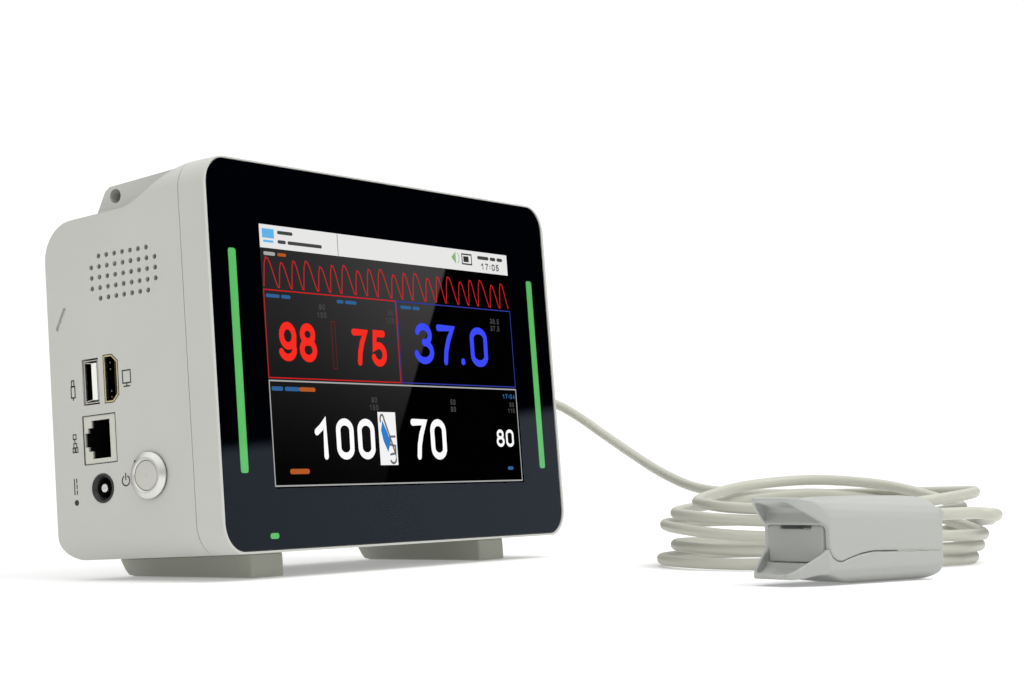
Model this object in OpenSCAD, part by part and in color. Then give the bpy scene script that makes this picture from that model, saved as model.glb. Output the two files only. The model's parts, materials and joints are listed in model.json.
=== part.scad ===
// Table-top patient monitor with a finger probe plugged into its right side.
// Millimetres, +Z up, screen towards -Y. The origin lies on the table under the
// middle of the whole object. The case leans back, so its parts are drawn
// upright in the case's own frame, whose origin is the middle of the glass's
// lower edge, and then placed by in_case(). Points on the table are counted from
// under that same edge and placed by on_table().

/* [Case] */
// Width of the case over its two side walls
case_w = 185.8; // [184.8:0.2:187]
// Depth of the case from the glass to the rear wall
case_d = 66.1; // [65:0.5:70]
// Wall thickness of the two case halves
wall = 2.2; // [1.8:0.1:2.5]
// Radius of the case corners seen from the front
case_r = 9.7; // [9:0.1:11]
// Depth of the front frame, up to its joint with the rear housing
frame_d = 10; // [9.5:0.5:11]
// Backward lean of the whole case in degrees
lean = 4; // [3:0.5:5]
// Height of the glass's lower edge above the table
case_lift = 8.46; // [8.2:0.1:9]

/* [Glass and screen] */
// Width of the front glass
glass_w = 183.4; // [182.6:0.2:183.4]
// Height of the front glass
glass_h = 117.6; // [116:0.2:117.6]
// Corner radius of the front glass
glass_r = 8.5; // [7:0.5:9]
// Thickness of the front glass
glass_t = 1.8; // [1.5:0.1:2]
// Width of the lit screen area
screen_w = 136; // [130:1:137]
// Height of the lit screen area
screen_h = 79.3; // [76:0.5:80]
// Distance from the centre of the glass to each alarm light
alarm_x = 81.1; // [80.5:0.1:82]

/* [Feet] */
// Inner face of each foot, from the middle of the case
foot_x0 = 53.2; // [48:0.2:54]
// Width of each foot
foot_w = 15.2; // [14:0.2:17]

/* [Handle lugs] */
// Half the width of the raised middle of the case top
hump_x = 84; // [80:1:85]
// Radius of the pin hole in each lug
lug_r = 2.25; // [1.5:0.25:2.5]

/* [Speaker grille] */
// Diameter of one grille hole
grille_d = 1.6; // [1.2:0.1:2]
// Pitch of the grille holes
grille_pitch = 3.25; // [3:0.05:3.4]

/* [Power button] */
// Radius of the moving cap
cap_r = 4.5; // [4.2:0.1:4.8]
// Travel of the cap
cap_travel = 1.5; // [1:0.1:2]

/* [Cable] */
// Outer diameter of the probe cable
cable_d = 3.4; // [3:0.1:3.6]
// Mean radius of the coiled loops
coil_r = 49.5; // [46:0.5:52]
// Height gained by each loop
coil_pitch = 3.9; // [3.7:0.1:4.1]

/* [Probe] */
// Width of the finger clip
probe_w = 24; // [23:0.5:26]
// Turn of the clip on the table in degrees
probe_turn = -18.9; // [-30:0.1:-10]
// Radius of the hinge pin
probe_pin_r = 1; // [0.8:0.1:1.2]

/* [Hidden] */
$fn = 48;

gap = 0.1;                  // assembly gap between fixed parts
origin_x = 24.29;           // middle of the whole object, from the middle of the glass's edge
origin_y = -60.459;
rim_top = 0.5;              // frame above the glass
rim_bottom = 0.75;          // frame below the glass
top_fall = 0.055;           // fall of the case top per mm of depth
bottom_rise = 0.033;        // rise of the case bottom per mm of depth
case_top = glass_h + rim_top;
case_mid_z = (case_top - rim_bottom) / 2;
case_h = case_top + rim_bottom;
seam = 0.2;                 // open joint between frame and housing
plate_t = 2;                // plate of the front frame behind the glass
plate_y = glass_t + plate_t + gap;
side_x = case_w / 2;

// Openings behind the glass
screen_z = 58.35;           // middle of the lit area
window_z = 58.2;            // middle of the opening in the front frame
alarm_z0 = 22.9;
alarm_z1 = 90.6;
led_x = -69.6;
led_z = 4.3;
led_w = 3.05;
led_h = 1.7;
display_board_y = 12.5;     // front face of the display board

// Side view of the case: shoulders beside the raised middle
shoulder_z = 105.6;         // shoulder height at the rear
shoulder_rise = 0.7;        // shoulder height gained where the ramp starts
ramp_y0 = 34;
ramp_y1 = 5.5;
rear_top_r = 12;
rear_bottom_r = 8;
hump_end_y = 45.7;
hump_foot_y = 53.4;
lug_y = 43.5;
lug_z = 112.4;
lug_len = 8;

// Ports on the left wall, as distances from the glass plane and its lower edge
usb_y = 49.3;
usb_z = 55.05;
hdmi_y = 40.8;
hdmi_z = 55.25;
net_y = 46.7;
net_z = 37.4;
net_w = 13.4;
net_h = 14.75;
dc_y = 46.4;
dc_z = 22.5;
dc_r = 4.4;
btn_y = 27.2;
btn_z = 24.8;
btn_barrel_r = 6;
btn_flange_r = 7;
btn_seal_t = 0.4;
btn_proud = 2;
cap_gap = 0.05;             // running clearance of the cap
board_y = 54;               // front face of the main board
pcb_t = 1.6;

cut_in = 6;                 // reach of a wall cut inside the outer wall face
cut_len = cut_in + 2;

groove_y = 60.5;
groove_z = 75.5;
groove_turn = -30.5;
groove_len = 7.8;
groove_w = 1.3;
groove_depth = 0.7;

// Sockets on the right wall
spo2_y = 40;
spo2_z = 52;
temp_y = 40;
temp_z = 76;
nibp_y = 30;
nibp_z = 24;
plug_len = 19;
plug_boot_len = 14;
spo2_r = 7;
temp_r = 4;
nibp_r = 5;

// Speaker grille: nine columns by five rows, without the four corners
grille_y = 33.7;
grille_z = 86.5;

// Battery bay in the rear wall
door_x = 31;
door_z = 46;
door_w = 78;
door_h = 50;

// Case screws at the four corners
post_x = 84.5;
post_z0 = 8;
post_z1 = 99.6;
post_r = 2.8;
screw_r = 1.5;
post_end = 50;

foot_y0 = 10.9;             // front end of each foot

// Coil and probe on the table
coil_x = 55.5;
coil_y = -117;
coil_start = 25;            // angle at which the supply strand joins the coil
probe_x = -39.7;
probe_y = -172.3;
pivot_u = -15.2;
pivot_z = 10.4;
mouth_u = 24;               // open end of the clip
lobe_r = 4.3;
probe_boot_z = 16.8;
tail_end_u = 44;            // end of the cable length that moves with the upper jaw
crease_z = 17;              // height at which the flat sides of the clip meet its arch
arch_tilt = 2.5;
grip_rise = 12;
grip_wall = 1.2;
window_u = 8;               // light window of the clip
window_r = 2.9;
spring_wire_r = 0.45;

// ---------- placing ----------
module in_case() translate([-origin_x, -origin_y, case_lift]) rotate([-lean, 0, 0]) children();
function on_table(x, y, z) = [x - origin_x, y - origin_y, z];
function case_point(p) = on_table(p[0], p[1] * cos(lean) + p[2] * sin(lean),
    p[2] * cos(lean) - p[1] * sin(lean) + case_lift);
module along_x(x0, x1) translate([x0, 0, 0]) rotate([90, 0, 90]) linear_extrude(x1 - x0) children();
module along_y(y0, y1) translate([0, y1, 0]) rotate([90, 0, 0]) linear_extrude(y1 - y0) children();
// On a side wall, z points out of the case
module on_left(y, z) translate([-side_x, y, z]) rotate([0, -90, 0]) children();
module on_right(y, z) translate([side_x, y, z]) rotate([0, 90, 0]) children();
// On the table, x runs along the clip towards its mouth
module in_probe() translate(on_table(probe_x, probe_y, 0)) rotate([0, 0, probe_turn]) children();
module across_probe(half) rotate([90, 0, 0]) linear_extrude(2 * half, center = true) children();

// ---------- shapes that repeat ----------
function arc(c, r, a0, a1, n = 10) =
    [for (i = [0:n]) let (a = a0 + (a1 - a0) * i / n) [c[0] + r * cos(a), c[1] + r * sin(a)]];
module round_rect(w, h, r) {
    square([w - 2 * r, h], center = true);
    square([w, h - 2 * r], center = true);
    for (sx = [-1, 1], sz = [-1, 1]) translate([sx * (w / 2 - r), sz * (h / 2 - r)]) circle(r);
}
module box(p0, p1) translate(p0) cube(p1 - p0);
module tube(r_out, r_in, z0, z1) translate([0, 0, z0]) difference() {
    cylinder(r = r_out, h = z1 - z0);
    translate([0, 0, -1]) cylinder(r = r_in, h = z1 - z0 + 2);
}
// Pan-head screw along +Z: the head sits at z = 0 and above, the shank hangs below
module screw(head_r, head_t, shank_r, shank_len) {
    difference() {
        cylinder(r = head_r, h = head_t);
        translate([0, 0, head_t * 0.45]) for (a = [0, 90])
            rotate([0, 0, a]) translate([-head_r * 0.65, -0.3, 0]) cube([head_r * 1.3, 0.6, head_t]);
    }
    translate([0, 0, -shank_len]) cylinder(r = shank_r, h = shank_len + 0.01);
}
// Ring-stack coil along +Z
module coil_spring(r, wire, n, z0, pitch) for (i = [0:n - 1])
    translate([0, 0, z0 + wire + i * pitch]) rotate_extrude() translate([r, 0]) circle(wire, $fn = 16);

// ---------- case ----------
function bottom_z(y) = -rim_bottom + bottom_rise * y;
function top_z(y) = case_top - top_fall * y;
function smooth(t) = let (u = min(1, max(0, t))) u * u * (3 - 2 * u);
function ramp_z(y) = y >= ramp_y0
    ? shoulder_z + shoulder_rise * (case_d - rear_top_r - y) / (case_d - rear_top_r - ramp_y0)
    : shoulder_z + shoulder_rise
        + (case_top - shoulder_z - shoulder_rise) * smooth((ramp_y0 - y) / (ramp_y0 - ramp_y1));
// Side outline of the whole case, pulled in by t
function side_outline(t) = concat(
    [[-1, bottom_z(0) + t]],
    arc([case_d - rear_bottom_r, bottom_z(case_d) + rear_bottom_r], rear_bottom_r - t, -90, 0),
    arc([case_d - rear_top_r, shoulder_z - rear_top_r], rear_top_r - t, 0, 90),
    [for (y = [48, 41, ramp_y0]) [y, ramp_z(y) - t]],
    [for (i = [1:13]) let (y = ramp_y0 - i * 2) [y, min(ramp_z(y), top_z(y)) - t]],
    [[-1, top_z(-1) - t]]);
// Side outline of the raised middle that carries the lugs
function hump_outline(t) = [
    [-1, 60],
    [-1, top_z(-1) - t],
    [hump_end_y - t / 2, top_z(hump_end_y) - t],
    [hump_end_y + 2 - t, top_z(hump_end_y) - 1.2 - t / 2],
    [hump_foot_y - t * 1.2, shoulder_z - 1],
    [hump_foot_y - t * 1.2, 60]];
module case_solid(t) intersection() {
    union() {
        along_x(-side_x, side_x) polygon(side_outline(t));
        along_x(-hump_x + t, hump_x - t) polygon(hump_outline(t));
    }
    along_y(-2, case_d + 2) translate([0, case_mid_z]) round_rect(case_w - 2 * t, case_h - 2 * t, case_r - t);
}
module depth_slab(y0, y1) box([-side_x - 5, y0, -10], [side_x + 5, y1, case_top + 10]);
module at_posts() for (x = [-post_x, post_x], z = [post_z0, post_z1]) translate([x, 0, z]) children();
module at_lcd_bosses() for (x = [-76, 76], z = [12, 104]) translate([x, 0, z]) children();
module y_cyl(r, y0, y1) translate([0, y1, 0]) rotate([90, 0, 0]) cylinder(r = r, h = y1 - y0);
module led_outline() {
    square([led_w - led_h, led_h], center = true);
    for (s = [-1, 1]) translate([s * (led_w - led_h) / 2, 0]) circle(led_h / 2, $fn = 24);
}

module front_frame() color([0.76, 0.76, 0.73]) in_case() difference() {
    union() {
        difference() {
            intersection() { case_solid(0); depth_slab(0, frame_d - seam / 2); }
            intersection() { case_solid(wall); depth_slab(plate_y, frame_d + 1); }
        }
        at_posts() y_cyl(post_r, plate_y - 0.01, frame_d - seam / 2);
        at_lcd_bosses() y_cyl(2, plate_y - 0.01, 7.2);
    }
    along_y(-1, glass_t + gap) translate([0, glass_h / 2]) round_rect(glass_w + 0.1, glass_h + 0.1, glass_r);
    along_y(0, plate_y + 1) translate([0, window_z]) round_rect(146, 89, 2);
    for (s = [-1, 1]) translate([s * alarm_x, 0, 0])
        box([-1.6, 0, alarm_z0 - 0.2], [1.6, plate_y + 1, alarm_z1 + 0.2]);
    translate([led_x, 0, led_z]) along_y(0, plate_y + 1) led_outline();
    at_posts() y_cyl(screw_r, plate_y + 0.6, frame_d + 1);
    at_lcd_bosses() y_cyl(1, plate_y + 0.6, 8);
}

module grille_holes() for (c = [-4:4], r = [-2:2]) if (!(abs(c) == 4 && abs(r) == 2))
    on_left(grille_y + c * grille_pitch, grille_z + r * grille_pitch)
        translate([0, 0, -wall - 1]) cylinder(d = grille_d, h = wall + 2, $fn = 20);

// Outline of the HDMI mouth, pulled in by t
function hdmi_points(t) = [
    [-7.25 + t, 2.9 - t], [7.25 - t, 2.9 - t], [7.25 - t, -0.6 + t * 0.4],
    [5.1 - t * 0.6, -2.9 + t], [-5.1 + t * 0.6, -2.9 + t], [-7.25 + t, -0.6 + t * 0.4]];
module left_wall_cuts() {
    on_left(usb_y, usb_z) translate([-7.05, -3.4, -cut_in]) cube([14.1, 6.8, cut_len]);
    on_left(hdmi_y, hdmi_z) translate([0, 0, -cut_in]) linear_extrude(cut_len) polygon(hdmi_points(0));
    on_left(net_y, net_z) translate([-net_h / 2, -net_w / 2, -cut_in]) cube([net_h, net_w, cut_len]);
    on_left(dc_y, dc_z) translate([0, 0, -cut_in]) cylinder(r = dc_r + gap, h = cut_len);
    on_left(btn_y, btn_z) translate([0, 0, -cut_in]) cylinder(r = btn_barrel_r + gap, h = cut_len);
    // shallow slanted groove near the rear edge
    on_left(groove_y, groove_z) rotate([0, 0, groove_turn])
        translate([0, 0, -groove_depth]) linear_extrude(2)
            round_rect(groove_len, groove_w, groove_w / 2 - 0.05);
}
module right_wall_cuts() {
    on_right(spo2_y, spo2_z) translate([0, 0, -cut_in]) cylinder(r = spo2_r + gap, h = cut_len);
    on_right(temp_y, temp_z) translate([0, 0, -cut_in]) cylinder(r = temp_r + gap, h = cut_len);
    on_right(nibp_y, nibp_z) translate([0, 0, -cut_in]) cylinder(r = nibp_r + gap, h = cut_len);
}
module at_board_posts() for (x = [-82, -14], z = [18, 72]) translate([x, 0, z]) children();
module at_foot_screws() for (s = [-1, 1], y = [20, 54])
    translate([s * (foot_x0 + foot_w / 2), y, 0]) children();
module at_display_bosses() for (x = [-64, 64], z = [24, 93]) translate([x, 0, z]) children();

module rear_housing() color([0.75, 0.75, 0.72]) in_case() difference() {
    union() {
        difference() {
            intersection() { case_solid(0); depth_slab(frame_d + seam / 2, case_d + 1); }
            case_solid(wall);
        }
        at_posts() y_cyl(post_r, frame_d + seam / 2, post_end);
        intersection() {
            at_posts() y_cyl(4.2, post_end - 2, case_d);
            case_solid(wall / 2);
        }
        at_board_posts() y_cyl(2.5, board_y + pcb_t, case_d - wall + 0.1);
        intersection() {
            at_foot_screws() translate([0, 0, -1]) cylinder(r = 3, h = 8.3);
            case_solid(0);
        }
        for (s = [-1, 1]) intersection() {
            along_x(min(s * (hump_x - lug_len), s * hump_x), max(s * (hump_x - lug_len), s * hump_x))
                translate([lug_y, lug_z - 1]) square([10, 9], center = true);
            case_solid(0);
        }
    }
    for (s = [-1, 1]) translate([s * (hump_x - lug_len - 1), lug_y, lug_z])
        rotate([0, s * 90, 0]) cylinder(r = lug_r, h = lug_len + 12);
    grille_holes();
    left_wall_cuts();
    right_wall_cuts();
    at_posts() y_cyl(screw_r + 0.1, 0, post_end + 1);
    at_posts() y_cyl(3.2, post_end, case_d + 1);
    at_board_posts() y_cyl(1, board_y, 61);
    at_foot_screws() translate([0, 0, -3]) cylinder(r = 1.3, h = 8);
    along_y(case_d - wall - 1, case_d + 1) translate([door_x, door_z]) round_rect(door_w, door_h, 3);
    for (i = [0:8]) box([-76 + i * 5, case_d - wall - 1, 78], [-73.6 + i * 5, case_d + 1, 92]);
}

module front_glass() color([0.03, 0.03, 0.04]) in_case()
    along_y(0, glass_t) translate([0, glass_h / 2]) round_rect(glass_w, glass_h, glass_r);
module glass_tape() color([0.1, 0.1, 0.1]) in_case()
    along_y(glass_t, glass_t + gap) translate([0, glass_h / 2]) difference() {
        round_rect(glass_w - 2, glass_h - 2, glass_r - 1);
        translate([0, window_z - glass_h / 2]) round_rect(170, 95, 2);
    }

// ---------- display ----------
module lcd_panel() color([0.05, 0.06, 0.1]) in_case()
    along_y(glass_t + gap, 7) translate([0, screen_z]) square([screen_w + 8, screen_h + 7], center = true);
module lcd_bracket() color([0.7, 0.7, 0.72]) in_case() difference() {
    union() {
        along_y(7.2, 8.2) translate([0, 58]) difference() {
            square([157, 97], center = true);
            square([120, 56], center = true);
        }
        at_display_bosses() y_cyl(2.4, 8.1, display_board_y);
    }
    at_lcd_bosses() y_cyl(1.2, 7, 9);
    at_display_bosses() y_cyl(1, 8.6, display_board_y + 0.5);
}
module lcd_screws() color([0.6, 0.6, 0.62]) in_case()
    at_lcd_bosses() translate([0, 8.2, 0]) rotate([-90, 0, 0]) screw(2, 1.2, 1, 3.4);
module alarm_light_pipes() color([0.35, 0.75, 0.35]) in_case() for (s = [-1, 1]) {
    box([s * alarm_x - 1.5, glass_t + gap, alarm_z0], [s * alarm_x + 1.5, 8.3, alarm_z1]);
    box([s * alarm_x - 2.6, plate_y, alarm_z0], [s * alarm_x + 2.6, 5.5, alarm_z1]);
}
module alarm_led_boards() color([0.12, 0.4, 0.2]) in_case() for (s = [-1, 1])
    box([s * alarm_x - 2, 8.4, alarm_z0 - 2], [s * alarm_x + 2, 9.6, alarm_z1 + 1.4]);
module power_led_lens() color([0.4, 0.85, 0.4]) in_case()
    translate([led_x, 0, led_z]) along_y(glass_t + gap, plate_y + 1.2) led_outline();
module display_board() color([0.1, 0.35, 0.2]) in_case() difference() {
    union() {
        box([-70, display_board_y, 20], [70, display_board_y + pcb_t, 97]);
        for (x = [-40, -5, 30]) box([x, display_board_y + 1, 50], [x + 14, 16, 64]);
        box([-50, display_board_y + 1, 72], [-20, 18, 80]);
    }
    at_display_bosses() y_cyl(1.1, 12, 15);
}
module board_screws() color([0.6, 0.6, 0.62]) in_case()
    at_display_bosses() translate([0, display_board_y + pcb_t, 0]) rotate([-90, 0, 0]) screw(2, 1.2, 1, 5.4);

// ---------- main board and left ports ----------
module main_board() color([0.1, 0.35, 0.2]) in_case() difference() {
    union() {
        box([-89, board_y, 13], [-10, board_y + pcb_t, 78]);
        box([-60, board_y - 3, 50], [-42, board_y + 0.1, 68]);
        box([-60, board_y - 2, 28], [-48, board_y + 0.1, 40]);
        for (i = [0:3]) translate([-34 + i * 6, board_y + 0.1, 28]) rotate([90, 0, 0])
            cylinder(r = 2.4, h = 7.1, $fn = 24);
    }
    at_board_posts() y_cyl(1.1, board_y - 1, board_y + 3);
}
module main_board_screws() color([0.6, 0.6, 0.62]) in_case()
    at_board_posts() translate([0, board_y, 0]) rotate([90, 0, 0]) screw(2, 1.2, 1, 6.8);
module hdmi_riser_board() color([0.1, 0.35, 0.2]) in_case() {
    box([-89, 44.1, 46], [-74, 45.3, 66]);
    box([-75, 45.2, 63.5], [-74, board_y, 66]);
}
module usb_shell() color([0.75, 0.75, 0.75]) in_case() on_left(usb_y, usb_z)
    translate([0, 0, -17]) difference() {
        translate([-6.55, -2.9, 0]) cube([13.1, 5.8, 16.6]);
        translate([-6.25, -2.6, 1]) cube([12.5, 5.2, 17]);
    }
module usb_tongue() color([0.92, 0.92, 0.9]) in_case() on_left(usb_y, usb_z) translate([0, 0, -16]) {
    translate([-6.25, -2.6, 0]) cube([12.5, 5.2, 5]);
    translate([-5.6, -2.1, 4.9]) cube([11.2, 1.9, 9.4]);
}
module usb_contacts() color([0.85, 0.68, 0.3]) in_case() on_left(usb_y, usb_z)
    for (x = [-3.5, -1.2, 1.2, 3.5]) translate([x - 0.5, -0.2, -11]) cube([1, 0.25, 8.6]);
module hdmi_shell() color([0.75, 0.73, 0.68]) in_case() on_left(hdmi_y, hdmi_z)
    translate([0, 0, -12]) difference() {
        linear_extrude(11.8) polygon(hdmi_points(0.1));
        translate([0, 0, 1]) linear_extrude(12) polygon(hdmi_points(0.55));
    }
module hdmi_tongue() color([0.1, 0.1, 0.1]) in_case() on_left(hdmi_y, hdmi_z) translate([0, 0, -11]) {
    linear_extrude(2.5) polygon(hdmi_points(0.6));
    translate([-5.5, -0.5, 2.4]) cube([11, 1.1, 6.4]);
}
// Stepped RJ45 mouth: local x is height, local y is depth into the case side
function net_mouth() = [[-5.8, -4.1], [5.8, -4.1], [5.8, 3.3], [3.6, 3.3], [3.6, 4.9], [2.1, 4.9], [2.1, 6.2],
    [-2.1, 6.2], [-2.1, 4.9], [-3.5, 4.9], [-3.5, 3.3], [-5.8, 3.3]];
module net_jack() color([0.78, 0.77, 0.7]) in_case() on_left(net_y, net_z)
    translate([0, 0, -16]) difference() {
        translate([-net_h / 2 + gap, -net_w / 2 + gap, 0]) cube([net_h - 2 * gap, net_w - 2 * gap, 15.8]);
        translate([0, 0, 3]) linear_extrude(14) polygon(net_mouth());
    }
module net_contacts() color([0.85, 0.68, 0.3]) in_case() on_left(net_y, net_z) for (i = [0:7])
    translate([-3.6 + i * 1.02, -4.1, -12.9]) cube([0.35, 1.6, 8]);
module dc_jack() color([0.08, 0.08, 0.08]) in_case() on_left(dc_y, dc_z) {
    difference() {
        translate([0, 0, -12]) cylinder(r = dc_r, h = 12.2);
        translate([0, 0, -9]) cylinder(r = 3.1, h = 10);
        translate([0, 0, -0.9]) cylinder(r1 = 3.1, r2 = 3.9, h = 1.2);
    }
    translate([-4.5, -3, -14]) cube([9, 6, 2.1]);
}
module dc_pin() color([0.85, 0.85, 0.85]) in_case() on_left(dc_y, dc_z) {
    translate([0, 0, -9]) cylinder(r = 1.05, h = 7.2);
    translate([0, 0, -1.8]) sphere(1.05, $fn = 24);
}

// ---------- power button ----------
bore_r = cap_r + cap_gap;
cap_base = -5;              // inner end of the cap
switch_top = cap_base - 3 - cap_travel;
module button_bezel() color([0.85, 0.85, 0.83]) in_case() on_left(btn_y, btn_z) rotate_extrude() polygon([
    [bore_r, -12], [btn_barrel_r, -12], [btn_barrel_r, btn_seal_t], [btn_flange_r, btn_seal_t],
    [btn_flange_r, btn_seal_t + 0.5], [btn_flange_r - 1.6, btn_proud],
    [bore_r + 0.3, btn_proud], [bore_r, btn_proud - 0.3]]);
module button_cap() color([0.8, 0.8, 0.76]) in_case() on_left(btn_y, btn_z) rotate_extrude() polygon([
    [0, cap_base], [cap_r, cap_base], [cap_r, btn_proud - 0.5],
    [cap_r - 0.3, btn_proud - 0.2], [0, btn_proud - 0.1]]);
module button_spring() color([0.7, 0.7, 0.72]) in_case()
    on_left(btn_y, btn_z) coil_spring(3, 0.3, 4, switch_top, 1.3);
module button_seal() color([0.15, 0.15, 0.15]) in_case()
    on_left(btn_y, btn_z) tube(btn_flange_r - 0.1, btn_barrel_r, 0, btn_seal_t);
module button_nut() color([0.8, 0.78, 0.6]) in_case() on_left(btn_y, btn_z) difference() {
    translate([0, 0, -wall - 2]) cylinder(r = 8.08, h = 2, $fn = 6);
    translate([0, 0, -wall - 3]) cylinder(r = btn_barrel_r, h = 4);
}
module button_switch() color([0.12, 0.12, 0.13]) in_case() on_left(btn_y, btn_z) {
    translate([0, 0, switch_top - 2.6]) cylinder(r = cap_r, h = 2.6);
    translate([0, 0, switch_top - 12.5]) cylinder(r = btn_barrel_r, h = 10);
    for (y = [-2, 2]) translate([-1, y - 0.3, -26]) cube([2, 0.6, 4.1]);
}

// ---------- speaker ----------
module speaker_frame() color([0.2, 0.2, 0.2]) in_case() on_left(grille_y, grille_z) difference() {
    union() {
        translate([0, 0, -wall - 5.6]) linear_extrude(5.5) round_rect(17, 30, 4);
        translate([0, 0, -wall - 8.6]) cylinder(r = 7, h = 3.1);
    }
    translate([0, 0, -wall - 3.6]) linear_extrude(5) round_rect(15, 28, 3);
    translate([0, 0, -wall - 5]) cylinder(r = 5, h = 3);
}
module speaker_cone() color([0.3, 0.3, 0.3]) in_case() on_left(grille_y, grille_z) {
    translate([0, 0, -wall - 3.5]) linear_extrude(0.8) round_rect(14.8, 27.8, 2.9);
    translate([0, 0, -wall - 2.8]) cylinder(r1 = 5, r2 = 3, h = 1.2);
}

// ---------- right sockets, plug and boot ----------
module spo2_socket() color([0.2, 0.35, 0.6]) in_case() on_right(spo2_y, spo2_z) rotate_extrude() polygon([
    [0, -14], [spo2_r, -14], [spo2_r, 0], [9, 0], [9, 1], [8.4, 1.6], [5, 1.6], [5, -10], [0, -10]]);
module spo2_plug() color([0.75, 0.75, 0.72]) in_case() on_right(spo2_y, spo2_z) rotate_extrude() polygon([
    [0, -9], [4.9, -9], [4.9, 1.7], [7, 1.7], [7.6, 2.6], [7.6, 8], [7, 9], [7, 13], [7.4, 14],
    [6.6, plug_len], [2.4, plug_len], [2.4, 4], [0, 4]]);
module plug_boot() color([0.75, 0.75, 0.72]) in_case() on_right(spo2_y, spo2_z) rotate_extrude() polygon([
    [cable_d / 2, 4.2], [2.3, 4.2], [2.3, plug_len], [5, plug_len], [4.6, plug_len + 4],
    [3.4, plug_len + 9], [2.6, plug_len + plug_boot_len], [cable_d / 2, plug_len + plug_boot_len]]);
module temp_socket() color([0.25, 0.25, 0.27]) in_case() on_right(temp_y, temp_z) rotate_extrude() polygon([
    [0, -14], [temp_r, -14], [temp_r, 0], [5.5, 0], [5.5, 0.8], [5, 1.2], [1.8, 1.2], [1.8, -11], [0, -11]]);
module nibp_connector() color([0.8, 0.8, 0.78]) in_case() on_right(nibp_y, nibp_z) rotate_extrude() polygon([
    [1, -14], [2, -14], [2, -8], [nibp_r, -8], [nibp_r, 0], [7, 0], [7, 1.4],
    [6.4, 2], [2.5, 2], [2.5, 12], [1, 12]]);

// ---------- blood pressure pump, valve and tubes ----------
module nibp_pump() color([0.5, 0.5, 0.52]) in_case() translate([-45, 27, 22]) rotate([0, 90, 0]) {
    cylinder(r = 10.5, h = 32);
    translate([0, 0, 31.9]) cylinder(r = 12, h = 18.1);
}
module nibp_valve() color([0.2, 0.2, 0.22]) in_case()
    box([15, nibp_y - 7, nibp_z - 7], [37, nibp_y + 7, nibp_z + 7]);
module nibp_tubes() color([0.85, 0.85, 0.8]) in_case() translate([0, nibp_y, nibp_z]) rotate([0, 90, 0]) {
    tube(3, 2, 5, 15);
    tube(3, 2, 37, side_x - 8);
}

// ---------- battery ----------
module battery_pack() color([0.2, 0.3, 0.55]) in_case()
    box([door_x - 35, 43, door_z - 22], [door_x + 35, 62, door_z + 22]);
module battery_door() color([0.75, 0.75, 0.72]) in_case() difference() {
    union() {
        along_y(case_d - 2, case_d) translate([door_x, door_z]) round_rect(door_w - 0.6, door_h - 0.6, 2.7);
        for (i = [0:4]) translate([door_x, case_d - 0.1, door_z - 14 + i * 3])
            box([-8, 0, 0], [8, 0.6, 1.2]);
    }
    for (s = [-1, 1]) translate([door_x + s * 34, 0, door_z]) {
        y_cyl(1.3, case_d - 4, case_d + 1);
        y_cyl(2.6, case_d - 1, case_d + 1);
    }
}
module battery_door_screws() color([0.3, 0.3, 0.32]) in_case() for (s = [-1, 1])
    translate([door_x + s * 34, case_d - 1, door_z]) rotate([-90, 0, 0]) screw(2.4, 0.9, 1.2, 2.6);
module case_screws() color([0.3, 0.3, 0.32]) in_case()
    at_posts() translate([0, post_end, 0]) rotate([-90, 0, 0]) screw(2.8, 1.6, screw_r, 45);

// ---------- feet ----------
function ground_z(y) = (y * sin(lean) - case_lift) / cos(lean);
function foot_outline() = [
    [foot_y0, bottom_z(foot_y0)], [foot_y0, ground_z(foot_y0)], [59, ground_z(59)],
    [61.2, ground_z(61.2) + 0.4], [62.5, ground_z(62.5) + 1.8],
    [64.6, bottom_z(64.6)], [57, bottom_z(57)]];
module foot(s) in_case() difference() {
    translate([s * (foot_x0 + foot_w / 2), 0, 0]) along_x(-foot_w / 2, foot_w / 2) polygon(foot_outline());
    at_foot_screws() {
        translate([0, 0, -12]) cylinder(r = 1.3, h = 15);
        translate([0, 0, -12]) cylinder(r = 3, h = 9.6);
    }
    case_solid(0);
}
module left_foot() color([0.68, 0.69, 0.64]) foot(-1);
module right_foot() color([0.68, 0.69, 0.64]) foot(1);
module foot_screws() color([0.3, 0.3, 0.32]) in_case()
    at_foot_screws() translate([0, 0, -2.4]) rotate([180, 0, 0]) screw(2.4, 1.2, 1.2, 7);

// ---------- probe cable ----------
// How the loops lie, at each quarter turn t / 4 since the join: distance out from the mean radius, and height
// above the table in strand pitches. Each row is one loop: back, right end, front, left end.
lay_out = [
    1.5, 0.1, 0, -12.6,
    -3, -4, -0.5, -5.4,
    -4.2, 2.5, 0, -1.9,
    0.5, 1.2, -0.5, -5.2,
    -1.5, -0.8, 0, -0.7,
    0.5];
lay_up = [
    4.94, 5.12, 4.14, 4.76,
    6.19, 3.96, 3.24, 3.83,
    5.01, 1.81, 2.01, 2.88,
    2.76, 0.92, 0.99, 1.24,
    0.95, 0, 0, 0.1,
    0.06];
coil_turns = (len(lay_up) - 1) / 4;
function lay(list, t) = let (q = min(floor(4 * t), 4 * coil_turns - 1), s = (1 - cos(180 * (4 * t - q))) / 2)
    list[q] * (1 - s) + list[q + 1] * s;
function coil_angle(t) = coil_start - 360 * t;
function coil_z(t) = cable_d / 2 + 0.08 + coil_pitch * lay(lay_up, t);
function around_coil(a, r, z) = on_table(coil_x + r * cos(a), coil_y + r * sin(a), z);
function coil_point(t) = around_coil(coil_angle(t), coil_r + lay(lay_out, t), coil_z(t));
function probe_point(u, z) = on_table(probe_x + u * cos(probe_turn), probe_y + u * sin(probe_turn), z);
cable_start = [side_x + 5, spo2_y, spo2_z];
plug_end = [side_x + plug_len + plug_boot_len, spo2_y, spo2_z];
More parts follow.
